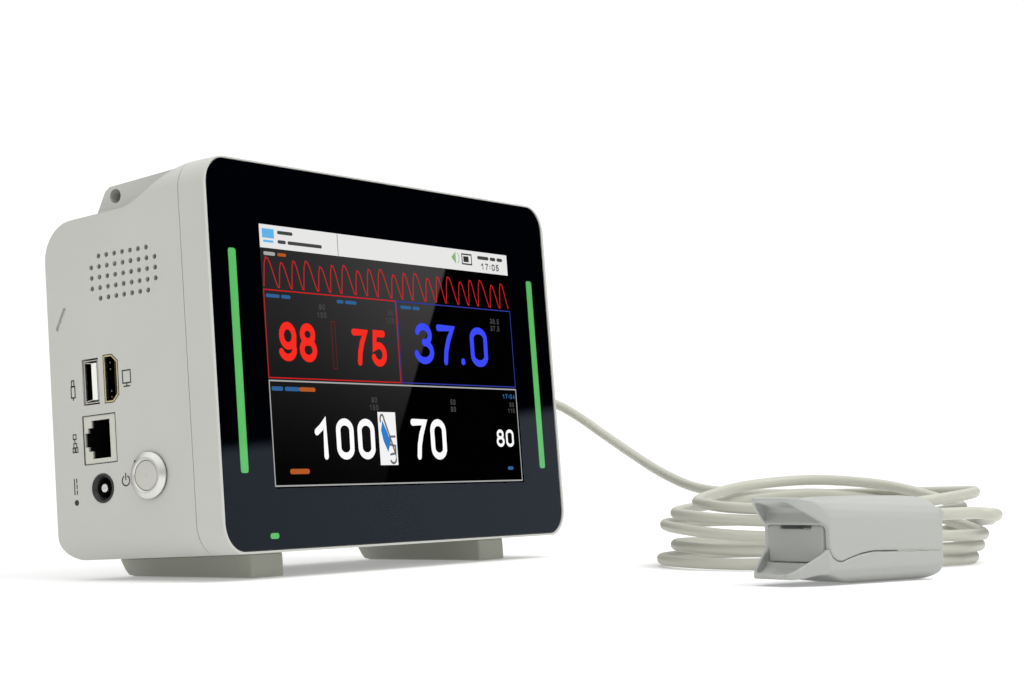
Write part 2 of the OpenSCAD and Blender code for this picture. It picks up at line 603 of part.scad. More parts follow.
// Strand from the plug down to the coil
supply_marks = concat(
    [for (x = [0, 10]) case_point(cable_start + [x, 0, 0])],
    [for (x = [-4, 0.5, 4]) case_point(plug_end + [x, 0, 0])],
    [on_table(138, 36.5, 57.5), on_table(141.8, 27, 52.8), on_table(136, 7.5, 42.8),
     on_table(120, -15.5, 34.3), on_table(102.5, -36, coil_z(0) + 7.5), on_table(94.3, -53, coil_z(0) + 2.8),
     on_table(94, -68.5, coil_z(0) + 0.8), on_table(97.3, -83, coil_z(0) + 0.2)]);
// Strand that climbs round the outside of the coil, up to the probe
probe_marks = [
    around_coil(-2, coil_r + 3.6, 3.9), around_coil(-22, coil_r + 5.5, 8.3),
    around_coil(-48, coil_r + 4.9, 12.2), around_coil(-72, coil_r + 4.7, 13.2),
    around_coil(-86, coil_r + 7.2, 13.7), around_coil(-98, coil_r + 13, 14.3),
    around_coil(-108, coil_r + 21.7, 15.2), probe_point(mouth_u + 36, probe_boot_z - 0.7),
    probe_point(mouth_u + 28.5, probe_boot_z - 0.1), probe_point(tail_end_u + 3.6, probe_boot_z),
    probe_point(tail_end_u + 0.2, probe_boot_z)];
cable_marks = concat(supply_marks, [for (i = [0:coil_turns * 12]) coil_point(i / 12)], probe_marks);
function mark(i) = cable_marks[min(len(cable_marks) - 1, max(0, i))];
function spline(i, t) = let (a = mark(i - 1), b = mark(i), c = mark(i + 1), d = mark(i + 2))
    0.5 * (2 * b + (c - a) * t + (2 * a - 5 * b + 4 * c - d) * t * t + (3 * b - a - 3 * c + d) * t * t * t);
cable_steps = 3;
cable_path = concat(
    [for (i = [0:len(cable_marks) - 2], k = [0:cable_steps - 1]) spline(i, k / cable_steps)],
    [mark(len(cable_marks) - 1)]);
function unit(v) = v / norm(v);
function heading(p, i) = unit(p[min(len(p) - 1, i + 1)] - p[max(0, i - 1)]);
module sweep(path, r, n) {
    rings = [for (i = [0:len(path) - 1])
        let (h = heading(path, i), side = unit(cross([0, 0, 1], h)), up = cross(h, side))
        for (k = [0:n - 1]) path[i] + r * (cos(360 * k / n) * side + sin(360 * k / n) * up)];
    last = len(path) - 1;
    polyhedron(rings, concat(
        [[for (k = [0:n - 1]) k]],
        [for (i = [0:last - 1], k = [0:n - 1]) let (a = i * n, b = i * n + n, j = (k + 1) % n)
            [a + k, b + k, b + j, a + j]],
        [[for (k = [n - 1:-1:0]) last * n + k]]));
}
module probe_cable() color([0.75, 0.75, 0.69]) sweep(cable_path, cable_d / 2 - 0.02, 8);
module probe_cable_tail() color([0.75, 0.75, 0.69]) in_probe() translate([mouth_u - 1, 0, probe_boot_z])
    rotate([0, 90, 0]) cylinder(r = cable_d / 2, h = tail_end_u - mouth_u + 1);

// ---------- finger probe ----------
function lobe(r, a0, a1) = arc([pivot_u, pivot_z], r, a0, a1, 12);
upper_outline = concat(
    [[mouth_u, 7.6], [mouth_u, 21.8], [16, 22.4], [4, 22.6], [-8, 22.5], [-14, 22], [-19.5, 21.3],
     [-23, 21.9], [-26.5, 22.7], [-28.8, 22.8], [-29.4, 22.2], [-29.2, 21.5], [-20.2, 15.4], [-19.6, 14.4]],
    lobe(lobe_r, 180, 298),
    [[-7.6, 7.9], [-3, 8.4]]);
lower_outline = concat(
    [[mouth_u, 7.45], [mouth_u, 1.4], [22.6, 0.2], [21.5, 0], [-6, 0], [-12, 0.8], [-16, 2], [-19.5, 2.9],
     [-22.5, 2.6], [-25.5, 1.9], [-28.4, 1.6], [-29.3, 2.1], [-29.2, 3], [-20.4, 8.6], [-19.8, 9.3]],
    lobe(lobe_r + 0.15, 194, 298),
    [[-7.6, 7.7], [-3, 8.2]]);
// Hollows of the squeeze grips
upper_cup = [[-31, 12], [-20.7, 12], [-20.6, 15.9], [-19.6, 18.6], [-20, 19.9], [-22.5, 20.8], [-26, 21.4],
    [-28.5, 21.6], [-31, 21.6]];
lower_cup = [[-31, 2.9], [-28.1, 2.9], [-25, 3.2], [-22, 4.2], [-20.6, 5.3], [-20.6, 20], [-31, 20]];
// Plan view: the squeeze grips narrow towards their free ends
module probe_plan(t) {
    h = probe_w / 2 - t;
    grip_side = [[mouth_u + 1, h], [-19.5, h], [-24, h - 2.2], [-27.4, h - 4], [-28.9, h - 5.3],
        [-29.5, h - 6.6]];
    last = len(grip_side) - 1;
    polygon(concat(grip_side, [for (i = [last:-1:0]) [grip_side[i][0], -grip_side[i][1]]]));
}
// End view: flat sides under a shallow arch
module probe_end(t) {
    h = probe_w / 2 - t;
    // Points from the table up to the crest, as shares of the half width and as heights
    side = [[0.5, t - 0.1], [0.72, 0.7 + t], [0.9, 2], [1, 4],
        [1, 15.6 - t], [0.93, 17.6 - t], [0.8, 19.4 - t], [0.6, 21 - t], [0.35, 22.1 - t], [0.12, 22.8 - t]];
    polygon(concat([for (p = side) [p[0] * h, p[1]]],
        [for (i = [len(side) - 1:-1:0]) [-side[i][0] * h, side[i][1]]]));
}
// The arch tilts up by tilt degrees towards the hinge, and behind it by rise degrees: the grip ends flat
module probe_form(outline, t = 0, tilt = 0, rise = 0) intersection() {
    across_probe(probe_w) polygon(outline);
    translate([0, 0, -5]) linear_extrude(40) probe_plan(t);
    union() {
        translate([mouth_u, 0, crease_z]) rotate([0, tilt, 0]) translate([-42, 0, -crease_z])
            rotate([90, 0, 90]) linear_extrude(50) probe_end(t);
        translate([-18, 0, crease_z + 42 * sin(tilt)]) rotate([0, rise, 0]) translate([3, 0, -crease_z])
            rotate([90, 0, -90]) linear_extrude(20) probe_end(t);
    }
}
module pivot_cyl(r, half) translate([pivot_u, 0, pivot_z])
    rotate([90, 0, 0]) cylinder(r = r, h = 2 * half, center = true);
block_half = probe_w / 2 - 2.1;
slit_half = 5.8;            // open slit along the top of the hinge block
swing_r = 6.85;             // sweep cleared in the upper shell around the hinge block
module probe_upper_shell() color([0.72, 0.73, 0.7]) in_probe() difference() {
    probe_form(upper_outline, 0, arch_tilt, grip_rise);
    pivot_cyl(swing_r, block_half + 0.2);
    box([-40, -block_half - 0.2, -5], [pivot_u, block_half + 0.2, pivot_z]);
    box([pivot_u - 1, -block_half - 0.2, -5], [mouth_u - 2, block_half + 0.2, 14]);
    box([-8, -8, 13], [mouth_u - 2, 8, 19.6]);
    box([0, -8.6, -5], [mouth_u + 5, 8.6, 13.9]);
    probe_form(upper_cup, grip_wall, arch_tilt, grip_rise);
    pivot_cyl(probe_pin_r + 0.05, probe_w / 2 - 0.8);
    translate([mouth_u - 5, 0, probe_boot_z]) rotate([0, 90, 0]) cylinder(r = 2.5, h = 10);
}
module probe_lower_shell() color([0.72, 0.73, 0.7]) in_probe() difference() {
    probe_form(lower_outline);
    box([-18.6, -block_half - 0.2, 4.4], [mouth_u - 2, block_half + 0.2, 20]);
    box([-21.2, -block_half - 0.2, 5.6], [-18, block_half + 0.2, 20]);
    box([0, -8.6, 5.3], [mouth_u + 5, 8.6, 20]);
    box([-8, -8, 2], [mouth_u - 4, 8, 6]);
    probe_form(lower_cup, grip_wall);
}
module probe_hinge_block() color([0.56, 0.58, 0.55]) in_probe() difference() {
    intersection() {
        pivot_cyl(swing_r - 0.2, block_half);
        box([-20, -20, 5.8], [-9.6, 20, 30]);
    }
    box([-18.4, -block_half + 3, 5], [-5, block_half - 3, 20]);
    box([-21, -slit_half, 14.4], [-18, slit_half, 20]);
    pivot_cyl(probe_pin_r, 20);
}
module probe_hinge_pin() color([0.7, 0.7, 0.72]) in_probe() pivot_cyl(probe_pin_r, probe_w / 2 - 0.9);
// Torsion spring: its upper leg lies under the upper shell and its lower leg over the lower shell
module probe_spring() color([0.7, 0.7, 0.72]) in_probe() {
    for (i = [-3:3]) translate([pivot_u, i * 1.2, pivot_z]) rotate([90, 0, 0])
        rotate_extrude() translate([1.9, 0]) circle(spring_wire_r, $fn = 32);
    for (leg = [[1, 8], [-1, 24]]) translate([pivot_u, leg[0] * 4.9, pivot_z + leg[0] * 1.9])
        rotate([0, 90 - leg[0] * leg[1], 0]) cylinder(r = spring_wire_r, h = 7.4, $fn = 32);
}
module probe_upper_pad() color([0.35, 0.36, 0.37]) in_probe() difference() {
    box([-7, -8.4, 12], [mouth_u - 0.4, 8.4, 13.8]);
    translate([-10, 0, -1.6]) rotate([0, 90, 0]) cylinder(r = 14.4, h = 40);
    translate([window_u, 0, 10]) cylinder(r = window_r + 0.1, h = 5);
}
module probe_lower_pad() color([0.35, 0.36, 0.37]) in_probe() difference() {
    box([-7, -8.4, 5.4], [mouth_u - 0.4, 8.4, 7.4]);
    translate([-10, 0, 21]) rotate([0, 90, 0]) cylinder(r = 14.4, h = 40);
    translate([window_u, 0, 4]) cylinder(r = window_r + 0.1, h = 5);
}
module probe_emitter() color([0.6, 0.1, 0.1]) in_probe()
    translate([window_u, 0, 12.8]) cylinder(r = window_r, h = 3.2, $fn = 32);
module probe_detector() color([0.1, 0.1, 0.12]) in_probe()
    translate([window_u, 0, 4]) cylinder(r = window_r, h = 2.6, $fn = 32);
module probe_boot() color([0.72, 0.73, 0.7]) in_probe() translate([mouth_u - 2, 0, probe_boot_z])
    rotate([0, 90, 0]) rotate_extrude() polygon([
        [cable_d / 2, 0], [2.45, 0], [2.45, 4], [2.25, 10], [2, 14], [cable_d / 2, 14]]);

front_frame();
rear_housing();
front_glass();
glass_tape();
lcd_panel();
lcd_bracket();
lcd_screws();
alarm_light_pipes();
alarm_led_boards();
power_led_lens();
display_board();
board_screws();
main_board();
hdmi_riser_board();
main_board_screws();
usb_shell();
usb_tongue();
usb_contacts();
hdmi_shell();
hdmi_tongue();
net_jack();
net_contacts();
dc_jack();
dc_pin();
button_bezel();
button_cap();
button_spring();
button_seal();
button_nut();
button_switch();
speaker_frame();
speaker_cone();
spo2_socket();
spo2_plug();
plug_boot();
temp_socket();
nibp_connector();
nibp_pump();
nibp_valve();
nibp_tubes();
battery_pack();
battery_door();
battery_door_screws();
case_screws();
left_foot();
right_foot();
foot_screws();
probe_cable();
probe_cable_tail();
probe_boot();
probe_upper_shell();
probe_lower_shell();
probe_upper_pad();
probe_lower_pad();
probe_hinge_block();
probe_hinge_pin();
probe_spring();
probe_emitter();
probe_detector();
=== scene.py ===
"""Looks of a patient monitor, its coiled cable and its finger clip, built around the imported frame.

Shapes are drawn in millimetres in one of three local frames. CASE starts at the middle of the glass's
lower edge and leans back with it. TABLE starts under that edge on the table. PROBE lies on the table
with x along the clip, towards its mouth and the cable.
"""
import json
import math

import bmesh
import bpy
from mathutils import Matrix, Vector
from mathutils.bvhtree import BVHTree


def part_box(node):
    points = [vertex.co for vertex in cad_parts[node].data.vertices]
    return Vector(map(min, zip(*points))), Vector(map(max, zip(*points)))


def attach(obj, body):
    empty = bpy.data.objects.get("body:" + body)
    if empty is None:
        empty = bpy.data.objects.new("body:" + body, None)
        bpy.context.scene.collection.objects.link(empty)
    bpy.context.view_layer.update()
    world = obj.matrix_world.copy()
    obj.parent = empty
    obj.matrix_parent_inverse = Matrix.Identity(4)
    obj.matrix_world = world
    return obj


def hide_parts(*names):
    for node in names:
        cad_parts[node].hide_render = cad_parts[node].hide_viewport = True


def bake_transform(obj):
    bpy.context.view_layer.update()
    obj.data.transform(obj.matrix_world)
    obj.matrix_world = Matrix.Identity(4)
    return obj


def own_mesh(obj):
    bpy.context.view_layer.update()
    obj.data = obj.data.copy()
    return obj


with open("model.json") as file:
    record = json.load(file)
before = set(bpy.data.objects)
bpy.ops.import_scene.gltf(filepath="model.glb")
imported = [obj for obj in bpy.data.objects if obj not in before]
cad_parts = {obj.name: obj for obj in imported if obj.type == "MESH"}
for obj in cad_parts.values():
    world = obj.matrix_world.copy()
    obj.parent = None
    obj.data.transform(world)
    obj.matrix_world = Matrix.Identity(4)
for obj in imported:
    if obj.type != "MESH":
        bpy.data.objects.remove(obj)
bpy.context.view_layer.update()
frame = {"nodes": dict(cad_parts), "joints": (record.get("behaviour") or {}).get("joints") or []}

MM = 0.001
LEAN = math.radians(4)
GLASS_W, GLASS_H, GLASS_R, GLASS_T = 183.4, 117.6, 8.5, 1.8
SIDE_X = 92.9  # outer face of either side wall
CASE_JOINT_Y = 10  # where the front frame meets the rear housing

# ---------- frames ----------
JOINTS = {joint["name"]: joint for joint in frame["joints"]}
glass_lo, glass_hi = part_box("front_glass")
edge = Vector(((glass_lo.x + glass_hi.x) / 2, glass_lo.y, glass_lo.z + GLASS_T * MM * math.sin(LEAN)))
CASE = Matrix.Translation(edge) @ Matrix.Rotation(-LEAN, 4, "X") @ Matrix.Scale(MM, 4)
TABLE = Matrix.Translation((edge.x, edge.y, 0)) @ Matrix.Scale(MM, 4)
PIVOT_U = -15.2  # the clip's hinge pin, along the PROBE frame
hinge = Vector(JOINTS["probe_open"]["pos_m"])
swing_axis = Vector(JOINTS["probe_open"]["axis"])
along_clip = Vector((-swing_axis.y, swing_axis.x, 0)).normalized()
PROBE_TURN = math.atan2(along_clip.y, along_clip.x)
probe_origin = hinge - along_clip * PIVOT_U * MM
PROBE = Matrix.Translation((probe_origin.x, probe_origin.y, 0)) @ Matrix.Rotation(PROBE_TURN, 4, "Z")
PROBE = PROBE @ Matrix.Scale(MM, 4)


# ---------- materials ----------
# painted shade: the colour that stands for the shade deep inside the ports
PORT_PAINTED_SHADE = (0.006, 0.006, 0.006, 1)


class Graph:
    """Short ways to add nodes to a tree and to set or link their inputs."""

    def __init__(self, tree):
        self.tree = tree
        self.coords = self.node("TexCoord").outputs["Object"]

    def feed(self, value, target):
        """Links a socket to an input, or sets the input to a plain value."""
        if isinstance(value, bpy.types.NodeSocket):
            self.tree.links.new(value, target)
        else:
            target.default_value = value

    def node(self, kind, **inputs):
        made = self.tree.nodes.new("ShaderNode" + kind)
        for key, value in inputs.items():
            self.feed(value, made.inputs[key.replace("_", " ")])
        return made

    def maths(self, operation, *values):
        """The result of a Math node on numbers or sockets."""
        made = self.node("Math")
        made.operation = operation
        for value, target in zip(values, made.inputs):
            self.feed(value, target)
        return made.outputs["Value"]

    def axes(self, vector):
        """The X, Y and Z outputs of a vector."""
        return self.node("SeparateXYZ", Vector=vector).outputs


class Shader(Graph):
    """A Principled material whose colour, roughness and bump are worked out by nodes."""

    def __init__(self, name, colour, rough=0.5, metal=0.0, coat=0.0, specular=0.5):
        self.mat = bpy.data.materials.new(name)
        self.mat.use_nodes = True
        super().__init__(self.mat.node_tree)
        self.bsdf = self.tree.nodes["Principled BSDF"].inputs
        self.bsdf["Base Color"].default_value = (*colour, 1)
        self.bsdf["Roughness"].default_value = rough
        self.bsdf["Metallic"].default_value = metal
        self.bsdf["Coat Weight"].default_value = coat
        self.bsdf["Coat Roughness"].default_value = 0.08
        self.bsdf["Specular IOR Level"].default_value = specular
        self.mat.diffuse_color = (*colour, 1)
        self.colour = colour
        self.rough = rough
        self.normal = None

    def noise(self, size_mm, detail, stretch=(1, 1, 1)):
        """Noise whose features are about size_mm across, stretched along the axes given."""
        mapping = self.node("Mapping", Scale=stretch, Vector=self.coords)
        texture = self.node("TexNoise", Scale=1000 / size_mm, Detail=detail, Vector=mapping.outputs["Vector"])
        return texture.outputs["Fac"]

    def spread(self, fac, low, high):
        """Maps noise, which keeps to about 0.3..0.7, onto low..high."""
        ramp = self.node("MapRange", From_Min=0.3, From_Max=0.7, To_Min=low, To_Max=high, Value=fac)
        return ramp.outputs["Result"]

    def mottle(self, size_mm, amount):
        """Lets the colour drift a little, as moulded parts do."""
        brightness = self.spread(self.noise(size_mm, 3), 1 - amount, 1 + amount)
        tone = self.node("HueSaturation", Color=(*self.colour, 1), Value=brightness)
        self.feed(tone.outputs["Color"], self.bsdf["Base Color"])
        return self

    def wear(self, size_mm, amount, stretch=(1, 1, 1)):
        """Lets the gloss drift."""
        fac = self.noise(size_mm, 4, stretch)
        self.feed(self.spread(fac, self.rough - amount, self.rough + amount), self.bsdf["Roughness"])
        return self

    def round_edges(self, radius_mm):
        """Shades edges as if rounded."""
        bevel = self.node("Bevel", Radius=radius_mm * MM)
        bevel.samples = 4
        self.normal = bevel.outputs["Normal"]
        self.feed(self.normal, self.bsdf["Normal"])
        return self

    def texture(self, size_mm, depth_mm, stretch=(1, 1, 1)):
        """Fine relief: moulded grain, brushing or print."""
        bump = self.node("Bump", Strength=1.0, Distance=depth_mm * MM, Height=self.noise(size_mm, 2, stretch))
        if self.normal is not None:
            self.feed(self.normal, bump.inputs["Normal"])
        self.normal = bump.outputs["Normal"]
        self.feed(self.normal, self.bsdf["Normal"])
        return self

    def painted_shade_inside(self, reach_mm):
        """Paints shade into what lies deeper than reach_mm behind the left wall: painted shade that blackens
        the inside of a port and takes away its gloss.
        """
        wall = edge.x - SIDE_X * MM
        depth = self.node("MapRange", From_Min=wall + 0.3 * reach_mm * MM, From_Max=wall + reach_mm * MM,
                          To_Min=0, To_Max=1, Value=self.axes(self.coords)["X"]).outputs["Result"]
        mix = self.node("Mix")
        mix.data_type = "RGBA"
        base = self.bsdf["Base Color"]
        for value, target in zip((depth, base.links[0].from_socket, PORT_PAINTED_SHADE), (0, 6, 7)):
            self.feed(value, mix.inputs[target])
        self.feed(mix.outputs[2], base)
        self.feed(self.maths("SUBTRACT", 1, depth), self.bsdf["Specular IOR Level"])
        return self

    def ramp_across(self, normal, origin, start, end, low=0.0, high=1.0):
        """Goes from low to high between start and end mm past a line on the glass, along its normal."""
        axis = (CASE.to_3x3() @ Vector((normal[0], 0, normal[1]))).normalized()
        base = edge.dot(axis) + (origin[0] * normal[0] + origin[1] * normal[1]) * MM
        along = self.node("VectorMath")
        along.operation = "DOT_PRODUCT"
        self.feed(self.coords, along.inputs[0])
        self.feed(axis, along.inputs[1])
        ramp = self.node("MapRange", From_Min=base + start * MM, From_Max=base + end * MM, To_Min=low,
                         To_Max=high, Value=along.outputs["Value"])
        ramp.interpolation_type = "SMOOTHSTEP"
        return ramp.outputs["Result"]

    def glow(self, colour, strength):
        """Adds light of its own, of a strength that is a number or a socket."""
        self.bsdf["Emission Color"].default_value = (*colour, 1)
        self.feed(strength, self.bsdf["Emission Strength"])
        return self


def moulded(name, colour, rough=0.5, grain=0.35, depth=0.012, edge_mm=0.0):
    """Plastic or rubber with a fine moulded grain."""
    shader = Shader(name, colour, rough).mottle(30, 0.015).wear(12, 0.05)
    if edge_mm:
        shader.round_edges(edge_mm)
    return shader.texture(grain, depth).mat


def plated(name, colour, rough=0.3, stretch=(1, 1, 1), edge_mm=0.15):
    """Bare or plated metal, brushed along the axes given."""
    shader = Shader(name, colour, rough, metal=1.0).mottle(6, 0.04).wear(1.5, 0.08, stretch)
    return shader.round_edges(edge_mm).texture(0.4, 0.004, stretch=stretch).mat


CASE_PLASTIC = moulded("case_plastic", (0.5, 0.5, 0.465), 0.48, grain=0.5, depth=0.01)
FOOT_RUBBER = moulded("foot_rubber", (0.4, 0.41, 0.35), 0.6, grain=0.5, depth=0.02)
STEEL = plated("sheet_steel", (0.6, 0.6, 0.62), 0.32, stretch=(1, 1, 8))
SCREW_STEEL = plated("screw_steel", (0.55, 0.55, 0.57), 0.35)
BLACK_SCREW = Shader("black_screw", (0.02, 0.02, 0.022), 0.4, metal=0.6).mottle(4, 0.2).round_edges(0.15).mat
BOARD = Shader("circuit_board", (0.01, 0.12, 0.045), 0.35).mottle(3, 0.35).texture(0.8, 0.03).mat
PORT_STEEL = Shader("port_steel", (0.72, 0.7, 0.65), 0.28, metal=1.0).mottle(6, 0.04).round_edges(0.15)
# painted shade blackens the insides of the USB and HDMI shells
PORT_STEEL = PORT_STEEL.painted_shade_inside(1.4).mat
PORT_WHITE = moulded("port_white", (0.85, 0.85, 0.8), 0.4, edge_mm=0.15)
PORT_BLACK = moulded("port_black", (0.012, 0.012, 0.012), 0.38, edge_mm=0.3)
GOLD = plated("contact_gold", (0.83, 0.6, 0.25), 0.25, edge_mm=0.05)
# painted shade blackens the inside of the network jack
BEIGE = Shader("jack_beige", (0.53, 0.53, 0.465), 0.45).mottle(8, 0.03).round_edges(0.25).painted_shade_inside(1.2).mat
BUTTON_STEEL = Shader("button_steel", (0.64, 0.64, 0.61), 0.3, metal=1.0).mottle(20, 0.03)
BUTTON_STEEL = BUTTON_STEEL.round_edges(0.25).mat
BUTTON_SATIN = Shader("button_satin", (0.56, 0.555, 0.51), 0.6, metal=0.6).mottle(20, 0.03)
BUTTON_SATIN = BUTTON_SATIN.round_edges(0.2).mat
BRASS = plated("nut_brass", (0.75, 0.62, 0.35), 0.3)
BLACK_RUBBER = moulded("black_rubber", (0.02, 0.02, 0.02), 0.7, grain=0.3, depth=0.02, edge_mm=0.1)
SPEAKER_BLACK = moulded("speaker_black", (0.015, 0.015, 0.016), 0.55, edge_mm=0.3)
SPEAKER_PAPER = moulded("speaker_paper", (0.035, 0.034, 0.032), 0.85, grain=0.25, depth=0.05, edge_mm=0.3)
SOCKET_BLUE = moulded("socket_blue", (0.03, 0.1, 0.32), 0.4, edge_mm=0.3)
SOCKET_GREY = moulded("socket_grey", (0.07, 0.07, 0.075), 0.4, edge_mm=0.3)
CONNECTOR_METAL = plated("connector_metal", (0.78, 0.77, 0.74), 0.25, edge_mm=0.3)
PUMP_METAL = plated("pump_metal", (0.45, 0.45, 0.46), 0.4, stretch=(8, 1, 1), edge_mm=0.5)
VALVE_BLACK = moulded("valve_black", (0.02, 0.02, 0.022), 0.5, edge_mm=0.5)
AIR_TUBE = moulded("air_tube", (0.7, 0.7, 0.66), 0.3, edge_mm=0.3)
BATTERY_WRAP = moulded("battery_wrap", (0.03, 0.07, 0.22), 0.3, grain=4, depth=0.08, edge_mm=1)
PROBE_SHELL = moulded("probe_shell", (0.375, 0.385, 0.362), 0.45, grain=0.4, depth=0.008)
PROBE_BLOCK = moulded("probe_block", (0.33, 0.345, 0.32), 0.5, grain=0.4, depth=0.01)
PROBE_PAD = moulded("probe_pad", (0.08, 0.085, 0.09), 0.75, grain=0.3, depth=0.02)
SPRING_STEEL = plated("spring_steel", (0.6, 0.6, 0.62), 0.25, edge_mm=0.1)
EMITTER_RED = Shader("emitter_red", (0.4, 0.02, 0.02), 0.15, coat=0.5).mottle(3, 0.1).round_edges(0.3).mat
DETECTOR_DARK = Shader("detector_dark", (0.01, 0.01, 0.015), 0.15, coat=0.5).mottle(3, 0.2)
DETECTOR_DARK = DETECTOR_DARK.round_edges(0.3).mat
CABLE = moulded("cable_jacket", (0.46, 0.46, 0.39), 0.42, grain=0.6, depth=0.005)
PLUG_GREY = moulded("plug_grey", (0.52, 0.52, 0.48), 0.45, edge_mm=0.4)
LCD_BLACK = Shader("lcd", (0.004, 0.004, 0.005), 0.3, specular=0.1).mottle(20, 0.2).mat
TAPE_BLACK = moulded("glass_tape", (0.01, 0.01, 0.01), 0.8)
GREEN_LIGHT = Shader("light_green", (0.06, 0.3, 0.075), 0.4).mottle(15, 0.05)
GREEN_LIGHT = GREEN_LIGHT.glow((0.055, 0.33, 0.065), 0.55).mat

FINISH = {
    "lcd_panel": LCD_BLACK, "lcd_bracket": STEEL, "lcd_screws": SCREW_STEEL, "alarm_light_pipes": GREEN_LIGHT,
    "alarm_led_boards": BOARD, "power_led_lens": GREEN_LIGHT, "display_board": BOARD,
    "board_screws": SCREW_STEEL, "main_board": BOARD, "hdmi_riser_board": BOARD,
    "main_board_screws": SCREW_STEEL, "usb_shell": PORT_STEEL, "usb_tongue": PORT_WHITE,
    "usb_contacts": GOLD, "hdmi_shell": PORT_STEEL, "hdmi_tongue": PORT_BLACK, "net_jack": BEIGE,
    "net_contacts": GOLD, "dc_jack": PORT_BLACK, "dc_pin": CONNECTOR_METAL, "button_bezel": BUTTON_STEEL,
    "button_cap": BUTTON_SATIN, "button_spring": SPRING_STEEL, "button_seal": BLACK_RUBBER,
    "button_nut": BRASS, "button_switch": SPEAKER_BLACK, "speaker_frame": SPEAKER_BLACK,
    "speaker_cone": SPEAKER_PAPER, "spo2_socket": SOCKET_BLUE, "spo2_plug": PLUG_GREY,
    "plug_boot": PLUG_GREY, "temp_socket": SOCKET_GREY, "nibp_connector": CONNECTOR_METAL,
    "nibp_pump": PUMP_METAL, "nibp_valve": VALVE_BLACK, "nibp_tubes": AIR_TUBE,
    "battery_pack": BATTERY_WRAP, "battery_door_screws": BLACK_SCREW, "case_screws": BLACK_SCREW,
    "glass_tape": TAPE_BLACK, "foot_screws": BLACK_SCREW, "probe_hinge_pin": SPRING_STEEL,
    "probe_spring": SPRING_STEEL, "probe_emitter": EMITTER_RED, "probe_detector": DETECTOR_DARK,
}
for node_name, finish in FINISH.items():
    for slot in frame["nodes"][node_name].material_slots:
        slot.material = finish


# ---------- mesh helpers ----------
def finish_mesh(bm, name, material, body, replaces=(), sharp_deg=30, weighted=True):
    """Turns a bmesh in row-frame metres into a piece that rides on a body."""
    mesh = bpy.data.meshes.new(name)
    bm.to_mesh(mesh)
    bm.free()
    mesh.shade_smooth()
    mesh.set_sharp_from_angle(angle=math.radians(sharp_deg))
    obj = bpy.data.objects.new(name, mesh)
    bpy.context.scene.collection.objects.link(obj)
    for mat in material if isinstance(material, (list, tuple)) else [material]:
        mesh.materials.append(mat)
    if weighted:
        normals = obj.modifiers.new("normals", "WEIGHTED_NORMAL")
        normals.keep_sharp = True
    if body:
        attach(obj, body)
    if replaces:
        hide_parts(*replaces)
    return obj


def node_bmesh(node_name):
    """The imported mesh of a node, welded and with its flat faces joined up."""
    bm = bmesh.new()
    bm.from_mesh(frame["nodes"][node_name].data)
    bmesh.ops.remove_doubles(bm, verts=bm.verts, dist=0.002 * MM)
    bmesh.ops.dissolve_limit(bm, angle_limit=math.radians(0.5), verts=bm.verts, edges=bm.edges, delimit=set())
    bm.normal_update()
    return bm


def sees_open_air(bm):
    """Faces that nothing of the same mesh covers, looking straight out from their middle."""
    tree = BVHTree.FromBMesh(bm)
    lift = 0.02 * MM
    return {f for f in bm.faces
            if tree.ray_cast(f.calc_center_median() + f.normal * lift, f.normal)[0] is None}


def bevel_outer_edges(bm, width_mm, segments=3, keep=lambda edge: True):
    """Rounds the convex edges between two outside faces."""
    outer = sees_open_air(bm)
    chosen = [e for e in bm.edges
              if len(e.link_faces) == 2 and e.is_convex and e.calc_face_angle() > math.radians(35)
              and e.link_faces[0] in outer and e.link_faces[1] in outer and keep(e)]
    bmesh.ops.bevel(bm, geom=chosen, offset=width_mm * MM, offset_type="OFFSET", segments=segments,
                    profile=0.5, affect="EDGES", clamp_overlap=True)
    return bm


def round_rect(w, h, r, steps=10):
    """Outline of a rounded rectangle about the origin, anticlockwise."""
    points = []
    for i, (sx, sz) in enumerate(((1, -1), (1, 1), (-1, 1), (-1, -1))):
        start = -90 + 90 * i
        for k in range(steps + 1):
            a = math.radians(start + 90 * k / steps)
            points.append((sx * (w / 2 - r) + r * math.cos(a), sz * (h / 2 - r) + r * math.sin(a)))
    return points


def skin(bm, rings, close=False):
    """Joins rings of the same number of points with quads and caps the ends."""
    loops = [[bm.verts.new(p) for p in ring] for ring in rings]
    n = len(loops[0])
    for a, b in zip(loops, loops[1:]):
        for k in range(n):
            bm.faces.new((a[k], a[(k + 1) % n], b[(k + 1) % n], b[k]))
    if close:
        bm.faces.new(list(reversed(loops[0])))
        bm.faces.new(loops[-1])
    return loops


def slab(outline, y0, y1, matrix, round_mm=0.0, steps=4):
    """A flat plate of the CASE frame between two depths, its front edge rounded."""
    bm = bmesh.new()
    rings = [[matrix @ Vector((x, y1, z)) for x, z in outline(0)]]
    for k in range(steps + 1):
        a = math.radians(90 * k / steps)
        inset = round_mm * (1 - math.cos(a))
        rings.append([matrix @ Vector((x, y0 + round_mm * (1 - math.sin(a)), z)) for x, z in outline(inset)])
    skin(bm, rings, close=True)
    bmesh.ops.recalc_face_normals(bm, faces=bm.faces)
    return bm


# ---------- case ----------
def case_edges(edge):
    """Skips the joint between the two case halves."""
    ys = [(CASE.inverted() @ v.co).y for v in edge.verts]
    return not all(abs(y - CASE_JOINT_Y) < 0.5 for y in ys)


finish_mesh(bevel_outer_edges(node_bmesh("front_frame"), 0.4, 3, case_edges), "case_front_frame",
            CASE_PLASTIC, "monitor", ["front_frame"])
finish_mesh(bevel_outer_edges(node_bmesh("rear_housing"), 0.9, 4, case_edges), "case_rear_housing",
            CASE_PLASTIC, "monitor", ["rear_housing"])
finish_mesh(bevel_outer_edges(node_bmesh("battery_door"), 0.4, 3), "case_battery_door",
            CASE_PLASTIC, "monitor", ["battery_door"])
for side in ("left", "right"):
    finish_mesh(bevel_outer_edges(node_bmesh(side + "_foot"), 0.7, 4), "case_" + side + "_foot",
                FOOT_RUBBER, "monitor", [side + "_foot"])
